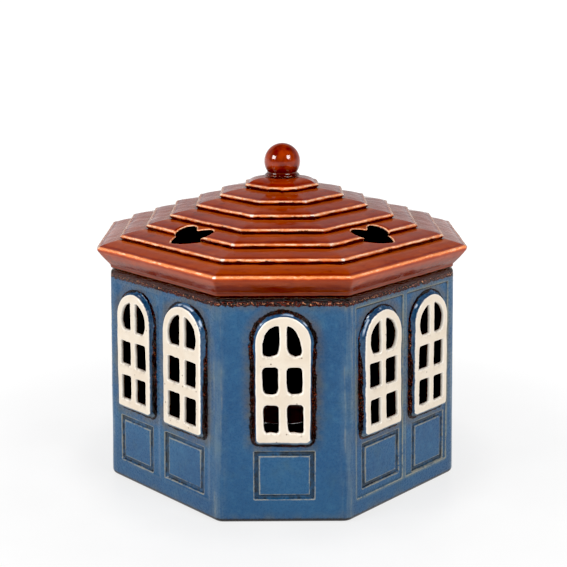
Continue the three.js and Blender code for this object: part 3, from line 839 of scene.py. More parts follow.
    # small faults in the lips: pits, a nick, and drips of glaze
    def spot(phi, rr, zz, size, drop, push):
        c = np.array([math.cos(math.radians(phi)) * rr, math.sin(math.radians(phi)) * rr, zz])
        g = np.exp(-((pos - c) ** 2).sum(-1) / size ** 2)
        pos[..., 2] -= drop * g
        pos[...] = pos + nrm * (push * g)[..., None]
    for phi, rr, zz, sz, dr, pu in ((-86, 83, 109, 1.1, 0.5, -0.5), (-83, 83, 109, 0.9, 0.4, -0.3), (-88.5, 83, 109, 0.8, 0.3, -0.2),
                                    (-128, 79, 109, 1.0, 0.5, -0.5), (-120, 82, 109, 0.8, 0.4, -0.4), (-89, 17.5, 133, 1.4, 0.6, 0.35),
                                    (-82, 17.5, 133, 1.0, 0.35, 0.2), (-64, 62, 117, 1.1, 0.4, -0.3), (-50, 80, 109, 1.1, 0.4, -0.4),
                                    (28, 81, 109, 1.1, 0.5, -0.4), (97, 73, 113.5, 1.2, 0.5, -0.4), (160, 62, 117, 1.2, 0.5, -0.3), (200, 51, 121.4, 1.1, 0.4, -0.3)):
        spot(phi, rr, zz, sz, dr, pu)
    pos[..., :2] = np.clip(pos[..., :2], -82.97, 82.97)
    P = pos.reshape(-1, 3)
    hd = np.full(len(P), 30.0)
    sflat = np.broadcast_to(side, (nr, nc)).ravel()
    mflat = np.broadcast_to(mode, (nr, nc)).ravel()
    for k in (1, 3, 5, 7):
        m = (sflat == k) & (mflat != 2) & (P[:, 2] > 105)
        x, y, h, *_ = heart_local(P[m], k)
        d = poly_sd(x, y, heart_poly(k))
        hd[m] = np.minimum(hd[m], np.maximum(d, -9))
    P = P.copy()
    P[:, 2] -= 0.45 * (1 - smooth(hd, -0.1, 0.9)) * (hd < 3)
    soup = Soup()
    flatrow = lambda a: np.repeat(a, nc)
    ids = soup.add(P, lc=flatrow(R[:, 4]), lr=flatrow(R[:, 5]), crn=crn.ravel(), hd=hd, kind=flatrow(R[:, 6]), ins=0.0).reshape(nr, nc)
    quads = grid_quads(ids)
    # inner surface, from the foot inwards
    ir = []
    def irow(d, s, z, rc, ins=1.0):
        ir.append((d, s, z, rc, ins))
    SD, T = 71.0, 3.4
    sS = lambda d: RIM_S - SHORT_INSET * (RIM_D - d)
    for d in (75.0, 73.5, 72.2):
        irow(d, sS(d), 99.5, 1.5, 0.5)
    irow(SD + 0.25, sS(SD + 0.25), 99.45, 1.3, 0.6)
    for z in (98.6, 97.0, 95.6):
        irow(SD, sS(SD), z, 1.3, 0.7)
    for a_ in (25, 60, 90):
        a_ = math.radians(a_)
        irow(SD - 0.8 + 0.8 * math.cos(a_), sS(SD - 0.8 + 0.8 * math.cos(a_)), 95.3 - 0.8 * math.sin(a_), 1.2, 0.8)
    hd0, hs0 = SD - T, sS(SD - T)
    irow(hd0 + 0.9, hs0 + 0.9 * SHORT_INSET, 94.5, 1.1)
    irow(hd0 + 0.25, hs0 + 0.2, 94.75, 1.1)
    for z in (95.4, 97.5, 99.8):
        irow(hd0, hs0, z, 1.0)
    irow(hd0 + 0.3, hs0 + 0.25, 100.3, 1.0)
    irow(hd0 + 2.6, hs0 + 2.1, 102.8, 1.0)
    irow(hd0 + 4.9, hs0 + 4.0, 105.2, 1.0)
    irow(hd0 + 5.2, hs0 + 4.3, 106.0, 1.0)
    irow(hd0 + 4.7, hs0 + 3.9, 106.95, 1.0)
    a = np.array([hd0 + 4.7, hs0 + 3.9, 106.95]); b = np.array([13.0, 9.6, 129.6])
    for t in np.linspace(0, 1, 46)[1:]:
        p = a + (b - a) * t
        irow(p[0], p[1], p[2], 1.0)
    irow(9.0, 6.6, 129.8, 0.8); irow(4.0, 3.0, 129.8, 0.5)
    I = np.array(ir)
    ipos, inrm, iu, icrn = rings(cols, I[:, 0], I[:, 1], I[:, 3], I[:, 2], frac=True)
    ni = len(ir)
    iw = 0.12 * fbm(ipos.reshape(-1, 3), 9, 2, 21).reshape(ni, nc) * (I[:, 2] > 101)[:, None]
    ipos = ipos + inrm * iw[..., None]
    IP = ipos.reshape(-1, 3)
    ihd = np.full(len(IP), 30.0)
    isf = np.broadcast_to(side, (ni, nc)).ravel()
    imf = np.broadcast_to(mode, (ni, nc)).ravel()
    for k in (1, 3, 5, 7):
        m = (isf == k) & (imf != 2) & (IP[:, 2] > 104)
        x, y, h, *_ = heart_local(IP[m], k)
        ihd[m] = poly_sd(x, y, heart_poly(k))
    iids = soup.add(IP, lc=9, lr=9, crn=icrn.ravel(), hd=ihd, kind=5, ins=np.repeat(I[:, 4], nc)).reshape(ni, nc)
    iq = grid_quads(iids)[:, ::-1]
    n_before = soup.n
    f = np.concatenate([hd, ihd])
    wo, po, eo = clip_quads(soup, quads, f)
    wi, pi, ei = clip_quads(soup, iq, np.concatenate([f, np.ones(soup.n - len(f))]))
    soup.quads(wo); soup.polys(po)
    soup.quads(wi); soup.polys(pi)
    # strip between the outer foot and the first inner row
    a0, b0 = ids[0], iids[0]
    soup.quads(np.stack([b0, np.roll(b0, -1), np.roll(a0, -1), a0], 1))
    PT = soup.points()
    li = chain(ei)
    ci = [PT[l].mean(0) for l in li]
    for l in chain(eo):
        c = PT[l].mean(0)
        ang = math.degrees(math.atan2(c[1], c[0]))
        k = int(round((ang % 360) / 45)) % 8
        x, y, h, e, up, nn = heart_local(PT[l], k)
        prev = list(l)
        base = PT[l]
        cx, cy = x.mean(), y.mean()
        rim = None
        for q, (dn, sh) in enumerate(((0.25, -0.10), (0.6, -0.16), (1.1, -0.2), (1.9, -0.22), (2.8, -0.22), (3.6, -0.2))):
            # slightly inside the outline, straight down the slope's normal; courses differ in height, so depth counts from the slope
            hh = h * (1 - dn / 4.5)
            dx, dy = x - cx, y - cy
            ln = np.maximum(np.hypot(dx, dy), 1e-6)
            ctr = base[:] + np.outer(hh - h - dn * 0.9, nn) + np.outer(dx / ln * sh, e) + np.outer(dy / ln * sh, up)
            cur = list(soup.add(ctr, lc=9, lr=9, crn=30, hd=0.0, kind=6, ins=min(1.0, 0.25 + dn / 1.5 * 0.75)))
            A, B = np.array(prev), np.array(cur)
            soup.quads(np.stack([np.roll(A, -1), A, B, np.roll(B, -1)], 1))
            prev = cur
        j = int(np.argmin([np.linalg.norm(c - q) for q in ci]))
        stitch(soup, prev, li[j][::-1])
    # top of the cap and of the hollow
    t0 = soup.add([[0, 0, CAP_TOP], [0, 0, 129.8]], lc=9, lr=9, crn=30, hd=30, kind=np.array([4.0, 5.0]), ins=np.array([0.0, 1.0]))
    soup.tris(fan(ids[-1], t0[0]))
    soup.tris(fan(iids[-1], t0[1], True))
    ob = soup.build("roof_pottery")
    return ob


def fix_normals(ob):
    import bmesh
    bm = bmesh.new()
    bm.from_mesh(ob.data)
    bmesh.ops.recalc_face_normals(bm, faces=bm.faces)
    bm.to_mesh(ob.data)
    bm.free()
    ob.data.update()


def open_edges(ob):
    import bmesh
    bm = bmesh.new()
    bm.from_mesh(ob.data)
    n = sum(1 for e in bm.edges if len(e.link_faces) != 2)
    vol = bm.calc_volume(signed=True)
    bm.free()
    return n, vol


def make_knob():
    soup = Soup()
    prof, jt = [[0, CAP_TOP + 0.3]], [0.0]

    def p(r, z, j=0.0):
        prof.append([r, z]); jt.append(j)
    p(3.5, 136.9); p(6.6, 136.9, .6); p(7.5, 136.94, 1); p(7.95, 137.15, 1); p(8.05, 137.5, 1); p(7.8, 137.85, .8); p(7.3, 138.2, .6)
    p(7.0, 138.6, .35)
    rb, zc = 8.36, 143.66
    for a in np.linspace(-33, 88, 46):
        a = math.radians(a)
        p(rb * math.cos(a), zc + rb * math.sin(a), 0.3 * max(0, 1 - (math.degrees(a) + 33) / 8))
    prof.append([0, zc + rb]); jt.append(0)

    def wob(P, th):
        m = P.shape[0]
        j = np.array(jt[1:-1])[:, None]
        flat = P.reshape(-1, 3)
        n1 = vnoise(flat, 1.5, 81).reshape(P.shape[:2])
        n2 = vnoise(flat, 6, 82).reshape(P.shape[:2])
        n3 = vnoise(flat, 0.8, 83).reshape(P.shape[:2])
        k = 1 + (0.03 * n1 + 0.012 * n3) * j + 0.006 * n2 * (1 - j)
        k = np.where(j > 0, k, np.minimum(k, 1.0))
        P = P.copy()
        P[..., 0] = P[..., 0] * k + 0.3
        P[..., 1] *= k
        return P
    lathe(soup, prof, 96, dict(jt=jt), wob)
    return soup.build("knob_pottery")


# ------------------------------------------------------------------ tea light
TEA = FLOOR + 0.3


def make_cup():
    soup = Soup()
    n = 192
    prof = [[0, 0.35], [8, 0.35], [8.6, 0.28], [9.2, 0.0], [17.6, 0.0], [18.3, 0.1], [18.75, 0.4], [18.95, 0.9], [19.0, 1.6]]
    prof += [[19.0, z] for z in np.linspace(2.4, 13.4, 12)]
    prof += [[19.0, 14.0], [19.08, 14.25], [19.3, 14.35], [19.52, 14.5], [19.6, 14.72], [19.52, 14.92], [19.3, 15.0], [19.0, 14.98], [18.75, 14.85],
             [18.62, 14.5], [18.6, 13.5]]
    prof += [[18.6, z] for z in (11, 8, 5, 2.2)] + [[18.45, 1.2], [18.0, 0.6], [17.0, 0.42], [9.2, 0.42], [4, 0.6], [0, 0.6]]
    prof = np.array(prof)

    def wob(P, th):
        r = np.hypot(P[..., 0], P[..., 1])
        zz = P[..., 2]
        amt = smooth(zz, 0.6, 2.5) * (1 - smooth(zz, 12.6, 14.0)) * (r > 18)
        k = 1 + 0.0042 * np.cos(48 * th)[None, :] * amt - 0.004 * amt
        edge = 1 + 0.0012 * np.cos(96 * th)[None, :] * smooth(zz, 14.1, 14.6)
        P = P.copy()
        P[..., 0] *= k * np.minimum(edge, 1.0)
        P[..., 1] *= k * np.minimum(edge, 1.0)
        return P
    # the profile turns back under itself, so it isn't a simple lathe from bottom to top: same builder, other end inside
    lathe(soup, prof, n, None, wob)
    ob = soup.build("tealight_cup_metal")
    for v in ob.data.vertices:
        v.co.z += TEA * MM
    return ob


def make_wax():
    soup = Soup()
    top = 12.6
    prof = [[0, 1.75], [6.9, 1.75], [7.1, 1.6], [7.1, 0.9], [7.4, 0.8], [17.0, 0.8], [17.7, 1.0], [18.1, 1.5]]
    prof += [[18.18, z] for z in (3, 5, 7, 9, 11, 12.0)]
    prof += [[18.16, 12.55], [17.9, 12.5], [17.4, 12.38], [16.5, 12.3], [14, 12.24], [11, 12.2], [8, 12.18], [5, 12.16], [3, 12.2], [2.0, 12.34],
             [1.45, 12.58], [1.2, 12.6], [1.15, 12.2], [0, 12.2]]

    def wob(P, th):
        P = P.copy()
        flat = P.reshape(-1, 3)
        up = (flat[:, 2] > 12) & (np.hypot(flat[:, 0], flat[:, 1]) < 17.8)
        P[..., 2] += (0.05 * fbm(flat, 5, 2, 91) * up).reshape(P.shape[:2])
        P[..., 2] = np.minimum(P[..., 2], top)
        return P
    lathe(soup, prof, 96, None, wob)
    ob = soup.build("tealight_wax_fill")
    for v in ob.data.vertices:
        v.co.z += TEA * MM
    return ob


def make_sustainer():
    soup = Soup()
    prof = [[0, 0.82], [6.2, 0.82], [6.5, 0.86], [6.55, 0.96], [6.4, 1.06], [5.6, 1.08], [4.6, 1.02], [3.2, 1.04], [2.0, 1.1], [1.62, 1.35], [1.5, 1.9],
            [1.42, 3.2], [1.36, 4.2], [1.2, 4.32], [1.0, 4.3], [0.92, 4.0], [0.9, 1.3], [0, 1.25]]

    def wob(P, th):
        P = P.copy()
        r = np.hypot(P[..., 0], P[..., 1])
        P[..., 2] += 0.06 * np.cos(6 * th)[None, :] * smooth(r, 3, 4.5) * (1 - smooth(r, 5.4, 6.0))
        return P
    lathe(soup, prof, 72, None, wob)
    ob = soup.build("wick_foot_metal")
    for v in ob.data.vertices:
        v.co.z += TEA * MM
    return ob


def make_wick():
    """A braided cotton wick that bends a little at the top."""
    soup = Soup()
    lo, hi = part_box("wick")
    z0, z1 = lo[2] / MM, hi[2] / MM
    m, n = 90, 24
    t = np.linspace(0, 1, m)
    zz = z0 + (z1 - z0) * t
    bend = 0.22 * smooth(t, 0.55, 1.0)
    th = np.arange(n) * 2 * math.pi / n
    r = 0.58 * (1 - 0.35 * smooth(t, 0.95, 1.0))
    R = r[:, None] * (1 + 0.10 * np.cos(3 * th[None, :] + t[:, None] * 60) * np.cos(3 * th[None, :] - t[:, None] * 60))
    fray = 0.05 * vnoise(np.stack([np.repeat(zz, n) * 1.0, np.tile(np.cos(th), m), np.tile(np.sin(th), m)], 1), 0.35, 95).reshape(m, n)
    R = R + fray * smooth(t, 0.8, 1.0)[:, None]
    P = np.stack([bend[:, None] + R * np.cos(th), R * np.sin(th), np.repeat(zz[:, None], n, 1)], -1)
    ids = soup.add(P.reshape(-1, 3), burn=np.repeat(smooth(t, 0.72, 0.82), n)).reshape(m, n)
    e = soup.add([[bend[0], 0, zz[0]], [bend[-1], 0, zz[-1]]], burn=np.array([0.0, 1.0]))
    soup.quads(grid_quads(ids))
    soup.tris(fan(ids[0], e[0], True))
    soup.tris(fan(ids[-1], e[1]))
    return soup.build("wick_braid")


# ------------------------------------------------------------------ node materials
class Tree:
    """Short forms for shader nodes. Every value is a socket or a number."""

    def __init__(self, name):
        self.mat = bpy.data.materials.new(name)
        self.mat.use_nodes = True
        self.nt = self.mat.node_tree
        self.nt.nodes.clear()
        self.out = self.nt.nodes.new("ShaderNodeOutputMaterial")
        self.bsdf = self.nt.nodes.new("ShaderNodeBsdfPrincipled")
        self.nt.links.new(self.bsdf.outputs[0], self.out.inputs["Surface"])
        tc = self.nt.nodes.new("ShaderNodeTexCoord")
        vm = self.nt.nodes.new("ShaderNodeVectorMath")
        vm.operation = "SCALE"
        vm.inputs["Scale"].default_value = 1000.0
        self.nt.links.new(tc.outputs["Object"], vm.inputs[0])
        self.p = vm.outputs[0]                   # object coordinates in millimetres
        sx = self.nt.nodes.new("ShaderNodeSeparateXYZ")
        self.nt.links.new(self.p, sx.inputs[0])
        self.x, self.y, self.z = sx.outputs

    def put(self, sock, v):
        if hasattr(v, "is_output") or isinstance(v, bpy.types.NodeSocket):
            self.nt.links.new(v, sock)
        elif isinstance(v, (tuple, list)):
            sock.default_value = (*v, 1.0) if len(v) == 3 and len(sock.default_value) == 4 else v
        else:
            sock.default_value = v

    def m(self, op, a, b=None, c=None, clamp=False):
        n = self.nt.nodes.new("ShaderNodeMath")
        n.operation = op
        n.use_clamp = clamp
        for i, v in enumerate((a, b, c)):
            if v is not None:
                self.put(n.inputs[i], v)
        return n.outputs[0]

    def add(self, a, b): return self.m("ADD", a, b)
    def sub(self, a, b): return self.m("SUBTRACT", a, b)
    def mul(self, a, b): return self.m("MULTIPLY", a, b)
    def mx(self, a, b): return self.m("MAXIMUM", a, b)
    def mn(self, a, b): return self.m("MINIMUM", a, b)

    def attr(self, name):
        n = self.nt.nodes.new("ShaderNodeAttribute")
        n.attribute_name = name
        return n.outputs["Fac"]

    def step(self, v, a, b, x=0.0, y=1.0):
        """Smooth step of v from a to b, giving x to y."""
        n = self.nt.nodes.new("ShaderNodeMapRange")
        n.interpolation_type = "SMOOTHSTEP"
        if a > b:
            a, b, x, y = b, a, y, x
        for i, q in enumerate((v, a, b, x, y)):
            self.put(n.inputs[i], q)
        return n.outputs[0]

    def noise(self, size, detail=2.0, rough=0.5, seed=0.0, stretch=None, dist=0.0):
        """Noise about 0 (-1 to 1) with features of about size millimetres."""
        vec = self.p
        n0 = self.nt.nodes.new("ShaderNodeVectorMath")
        n0.operation = "MULTIPLY_ADD"
        s = stretch or (1, 1, 1)
        n0.inputs[1].default_value = s
        n0.inputs[2].default_value = (seed * 13.7, seed * 7.3 + 3, seed * 3.1)
        self.nt.links.new(vec, n0.inputs[0])
        n = self.nt.nodes.new("ShaderNodeTexNoise")
        n.inputs["Scale"].default_value = 1.0 / size
        n.inputs["Detail"].default_value = detail
        n.inputs["Roughness"].default_value = rough
        n.inputs["Distortion"].default_value = dist
        self.nt.links.new(n0.outputs[0], n.inputs["Vector"])
        return self.m("MULTIPLY_ADD", n.outputs["Fac"], 2.0, -1.0)

    def spots(self, size, seed=0.0):
        """Distance to the nearest of scattered points, in cells of size millimetres, and a number for each cell."""
        n0 = self.nt.nodes.new("ShaderNodeVectorMath")
        n0.operation = "ADD"
        n0.inputs[1].default_value = (seed * 5.1, seed * 2.3, seed)
        self.nt.links.new(self.p, n0.inputs[0])
        n = self.nt.nodes.new("ShaderNodeTexVoronoi")
        n.inputs["Scale"].default_value = 1.0 / size
        self.nt.links.new(n0.outputs[0], n.inputs["Vector"])
        s = self.nt.nodes.new("ShaderNodeSeparateColor")
        self.nt.links.new(n.outputs["Color"], s.inputs[0])
        return n.outputs["Distance"], s.outputs[0]

    def mix(self, fac, a, b):
        n = self.nt.nodes.new("ShaderNodeMix")
        n.data_type = "RGBA"
        n.clamp_factor = True
        self.put(n.inputs[0], fac)
        self.put(n.inputs[6], a)
        self.put(n.inputs[7], b)
        return n.outputs[2]

    def bump(self, height, dist, prev=None, strength=1.0):
        n = self.nt.nodes.new("ShaderNodeBump")
        n.inputs["Strength"].default_value = strength
        n.inputs["Distance"].default_value = dist * MM
        self.put(n.inputs["Height"], height)
        if prev is not None:
            self.nt.links.new(prev, n.inputs["Normal"])
        return n.outputs[0]

    def done(self, colour, rough, normal=None, **kw):
        self.put(self.bsdf.inputs["Base Color"], colour)
        self.put(self.bsdf.inputs["Roughness"], rough)
        if normal is not None:
            self.nt.links.new(normal, self.bsdf.inputs["Normal"])
        for k, v in kw.items():
            self.put(self.bsdf.inputs[k.replace("_", " ")], v)
        return self.mat


def lin(r, g, b):
    f = lambda c: c / 255 / 12.92 if c / 255 <= 0.04045 else ((c / 255 + 0.055) / 1.055) ** 2.4
    return (f(r), f(g), f(b))


def blue_glaze():
    t = Tree("blue_glaze")
    cloud = t.noise(26, 3, 0.55, 1)
    cloud2 = t.noise(9, 3, 0.6, 2)
    fine = t.noise(1.1, 3, 0.65, 3)
    grain = t.noise(0.35, 2, 0.7, 4)
    streak = t.noise(2.0, 3, 0.6, 5, (1, 1, 0.07))
    sdB, sdP, sdW, crn, soft, inn, und = [t.attr(k) for k in ("sdB", "sdP", "sdW", "crn", "soft", "inn", "und")]
    base = t.mix(t.step(cloud, -0.45, 0.5), lin(28, 70, 108), lin(37, 82, 118))
    mott = t.noise(2.6, 3, 0.6, 14)
    base = t.mix(t.mul(t.step(cloud2, 0.0, 0.75), 0.6), base, lin(54, 84, 100))
    base = t.mix(t.mul(t.step(mott, 0.0, 0.6), 0.45), base, lin(62, 106, 134))
    base = t.mix(t.mul(t.step(mott, 0.0, -0.6), 0.45), base, lin(22, 58, 92))
    base = t.mix(t.mul(t.step(fine, 0.0, 0.6), 0.22), base, lin(70, 104, 122))
    base = t.mix(t.mul(t.step(fine, 0.0, -0.6), 0.22), base, lin(20, 50, 78))
    base = t.mix(t.mul(t.step(grain, 0.2, 0.6), 0.10), base, lin(104, 112, 108))
    base = t.mix(t.mul(t.step(grain, -0.25, -0.65), 0.15), base, lin(18, 36, 54))
    # grey-brown where the glaze is thin: near the base, the rim and beside the windows
    thin = t.mx(t.mul(t.step(t.z, 6, 1), 0.7), t.mx(t.mul(t.step(t.z, 91, 97), 0.85), t.step(sdW, 7.5, 2.2)))
    thin = t.mul(thin, t.step(t.add(cloud2, t.mul(mott, 0.6)), -0.5, 0.6))
    base = t.mix(t.mul(t.step(t.z, 30, 4), 0.35), base, lin(22, 60, 94))
    base = t.mix(t.mul(thin, 0.55), base, lin(88, 84, 68))
    # corners: lighter, streaky
    cor = t.mul(t.step(crn, 4.5, 0.6), t.step(t.add(streak, t.mul(cloud2, 0.4)), -0.35, 0.45))
    base = t.mix(t.mul(cor, 0.30), base, lin(112, 130, 136))
    corl = t.mul(t.step(t.m("ABSOLUTE", t.sub(crn, t.add(t.add(1.5, t.mul(t.noise(16, 2, 0.5, 23), 1.1)), t.mul(streak, 1.0)))), 0.5, 0.05), t.step(t.add(streak, t.mul(mott, 0.4)), 0.0, 0.4))
    base = t.mix(t.mul(corl, 0.26), base, lin(150, 142, 122))
    # fine tan lines on the raised edges, dark in the grooves
    wob = t.add(t.mul(fine, 0.12), t.mul(cloud2, 0.10))
    b1 = t.m("ABSOLUTE", t.add(t.add(sdB, 0.05), wob))
    lineB = t.mul(t.step(b1, 0.34, 0.06), t.sub(1.0, t.mul(soft, 0.93)))
    darkB = t.mul(t.step(t.m("ABSOLUTE", t.add(sdB, 0.75)), 0.5, 0.1), t.sub(1.0, t.mul(soft, 0.9)))
    p1 = t.m("ABSOLUTE", t.add(sdP, wob))
    p2 = t.m("ABSOLUTE", t.add(t.add(sdP, 2.4), wob))
    wide = t.add(0.30, t.mul(t.noise(5.5, 2, 0.5, 15), 0.24))
    lineP = t.mx(t.step(t.sub(p1, wide), 0.08, -0.24), t.step(t.sub(p2, wide), 0.08, -0.24))
    groove = t.mul(t.step(sdP, -0.15, -0.75), t.step(sdP, -2.25, -1.65))
    broken = t.step(t.add(fine, t.mul(cloud2, 0.8)), -0.6, 0.15)
    cut1 = t.mul(t.step(t.m("ABSOLUTE", t.add(sdP, 0.45)), 0.35, 0.05), t.step(t.add(mott, t.mul(cloud2, 0.7)), -0.25, 0.2))
    cut2 = t.mul(t.step(t.m("ABSOLUTE", t.add(sdP, 1.95)), 0.35, 0.05), t.step(t.add(mott, t.mul(cloud2, -0.7)), -0.2, 0.25))
    base = t.mix(t.mul(groove, t.mul(t.step(t.add(mott, cloud2), -0.8, 0.4), 0.85)), base, lin(26, 34, 38))
    base = t.mix(t.mul(t.mx(cut1, cut2), 0.85), base, lin(22, 14, 10))
    base = t.mix(t.mul(darkB, 0.45), base, lin(40, 60, 74))
    topB = t.mul(t.mul(t.step(t.m("ABSOLUTE", t.add(t.add(sdB, 0.35), wob)), 0.6, 0.2), t.step(t.z, 92.2, 92.9)), t.sub(1.0, soft))
    base = t.mix(t.mul(topB, t.step(t.add(mott, t.mul(fine, 0.6)), -0.5, 0.1)), base, lin(22, 14, 10))
    bandB = t.mul(t.step(t.m("ABSOLUTE", t.sub(sdB, 0.25)), 1.0, 0.3), t.sub(1.0, t.mul(soft, 0.85)))
    bandB = t.mul(bandB, t.step(t.add(t.noise(7.0, 2, 0.5, 19), t.mul(fine, 0.3)), -0.6, 0.2))
    base = t.mix(t.mul(bandB, 0.5), base, lin(96, 108, 104))
    base = t.mix(t.mul(t.mul(t.mx(lineB, lineP), broken), 0.62), base, lin(158, 152, 132))
    # dark reddish-brown line round the foot of every window, and the broken brown band under the rim
    j1 = t.add(t.mul(fine, 0.9), t.mul(t.noise(3.0, 2, 0.5, 8), 0.9))
    footd = t.add(t.add(sdW, t.mul(j1, 0.95)), t.add(t.mul(t.noise(8.0, 1, 0.5, 16), 0.7), t.step(t.z, 38.9, 36.9, 0.0, 0.7)))
    lside = t.step(t.mn(t.m("ABSOLUTE", t.x), t.m("ABSOLUTE", t.y)), 27.0, 29.5)
    footd = t.add(footd, t.mul(lside, t.add(t.step(t.z, 56.0, 74.0, 0.5, 1.0), t.mul(t.noise(9.0, 2, 0.5, 25), 0.5))))
    foot = t.step(footd, 2.5, 2.2)
    rimz = t.add(t.z, t.add(t.mul(j1, 0.8), t.mul(t.noise(1.4, 1, 0.5, 17), 0.7)))
    rim = t.step(rimz, 95.5, 95.75)
    dark = t.mx(foot, rim)
    spk = t.noise(0.55, 2, 0.6, 9)
    near = t.mx(t.step(t.add(sdW, t.mul(cloud2, 2.0)), 6.5, 2.0), t.mx(t.mul(t.step(t.add(t.z, t.mul(cloud2, 1.5)), 92.5, 96.5), 0.9), t.mul(t.step(crn, 7.0, 1.0), t.step(cloud, 0.0, 0.5, 0.15, 0.8))))
    haze = t.mul(near, t.step(t.add(t.noise(11.0, 2, 0.5, 26), t.mul(mott, 0.5)), -0.35, 0.5))
    base = t.mix(t.mul(haze, 0.48), base, lin(84, 72, 56))
    base = t.mix(t.mul(t.mul(near, t.step(t.add(spk, t.mul(fine, 0.3)), 0.18, 0.5)), 0.55), base, lin(62, 44, 32))
    zone = t.mul(t.step(t.noise(6.0, 2, 0.5, 18), -0.3, 0.4, 0.1, 1.0), t.step(t.z, 82.0, 88.0, 1.0, 0.55))
    # in the dark bands the red-brown specks are the glaze's own; the brightest orange-white specks are painted glints
    dcol = t.mix(t.mul(t.step(spk, 0.0, 0.3), zone), lin(10, 5, 3), lin(124, 46, 16))
    dcol = t.mix(t.mul(t.step(spk, 0.34, 0.46), zone), dcol, lin(226, 150, 98))
    # the band under the rim: a broken light edge that is a painted highlight, then a black line of painted shadow, then
    # grey-brown
    glint = t.mul(t.step(t.m("ABSOLUTE", t.sub(rimz, 96.85)), 0.55, 0.15), t.step(t.add(spk, t.mul(fine, 0.6)), 0.18, 0.44))
    dcol = t.mix(t.mul(rim, t.mul(t.step(spk, 0.0, 0.2), 0.8)), dcol, lin(112, 28, 7))
    dcol = t.mix(t.mul(glint, 0.95), dcol, lin(252, 180, 128))
    dcol = t.mix(t.mul(t.step(t.add(t.z, t.mul(fine, 0.15)), 97.5, 97.75), 0.95), dcol, t.mix(lside, lin(10, 4, 2), lin(58, 22, 12)))
    dcol = t.mix(t.mul(t.step(t.z, 98.7, 98.95), 0.9), dcol, t.mix(t.step(spk, -0.3, 0.4), lin(60, 30, 18), lin(96, 52, 32)))
    base = t.mix(dark, base, dcol)
    # painted shade: a dark line at the foot of the house where it curves under; bare clay under it
    base = t.mix(t.mul(t.step(t.add(t.z, t.mul(fine, 0.45)), 2.7, 1.6), 0.95), base, lin(24, 17, 13))
    base = t.mix(und, base, lin(178, 150, 118))
    # painted shade: the inner walls and floor are near-black, as if unlit
    inside = t.mix(t.step(cloud2, -0.4, 0.5), lin(16, 10, 8), lin(34, 18, 12))
    base = t.mix(inn, base, inside)
    rough = t.add(0.24, t.mul(t.step(fine, -0.5, 0.6), 0.10))
    rough = t.add(rough, t.mul(t.mx(lineB, lineP), 0.2))
    rough = t.add(rough, t.mul(und, 0.45))
    rough = t.sub(rough, t.mul(dark, 0.12))
    h = t.add(t.mul(t.noise(2.2, 2, 0.5, 11), 0.6), t.mul(grain, 0.10))
    n1 = t.bump(h, 0.055)
    n2 = t.bump(t.mul(dark, t.add(spk, t.mul(j1, 0.4))), 0.6, n1)
    return t.done(base, rough, n2, Specular_IOR_Level=0.34, Coat_Weight=0.0)


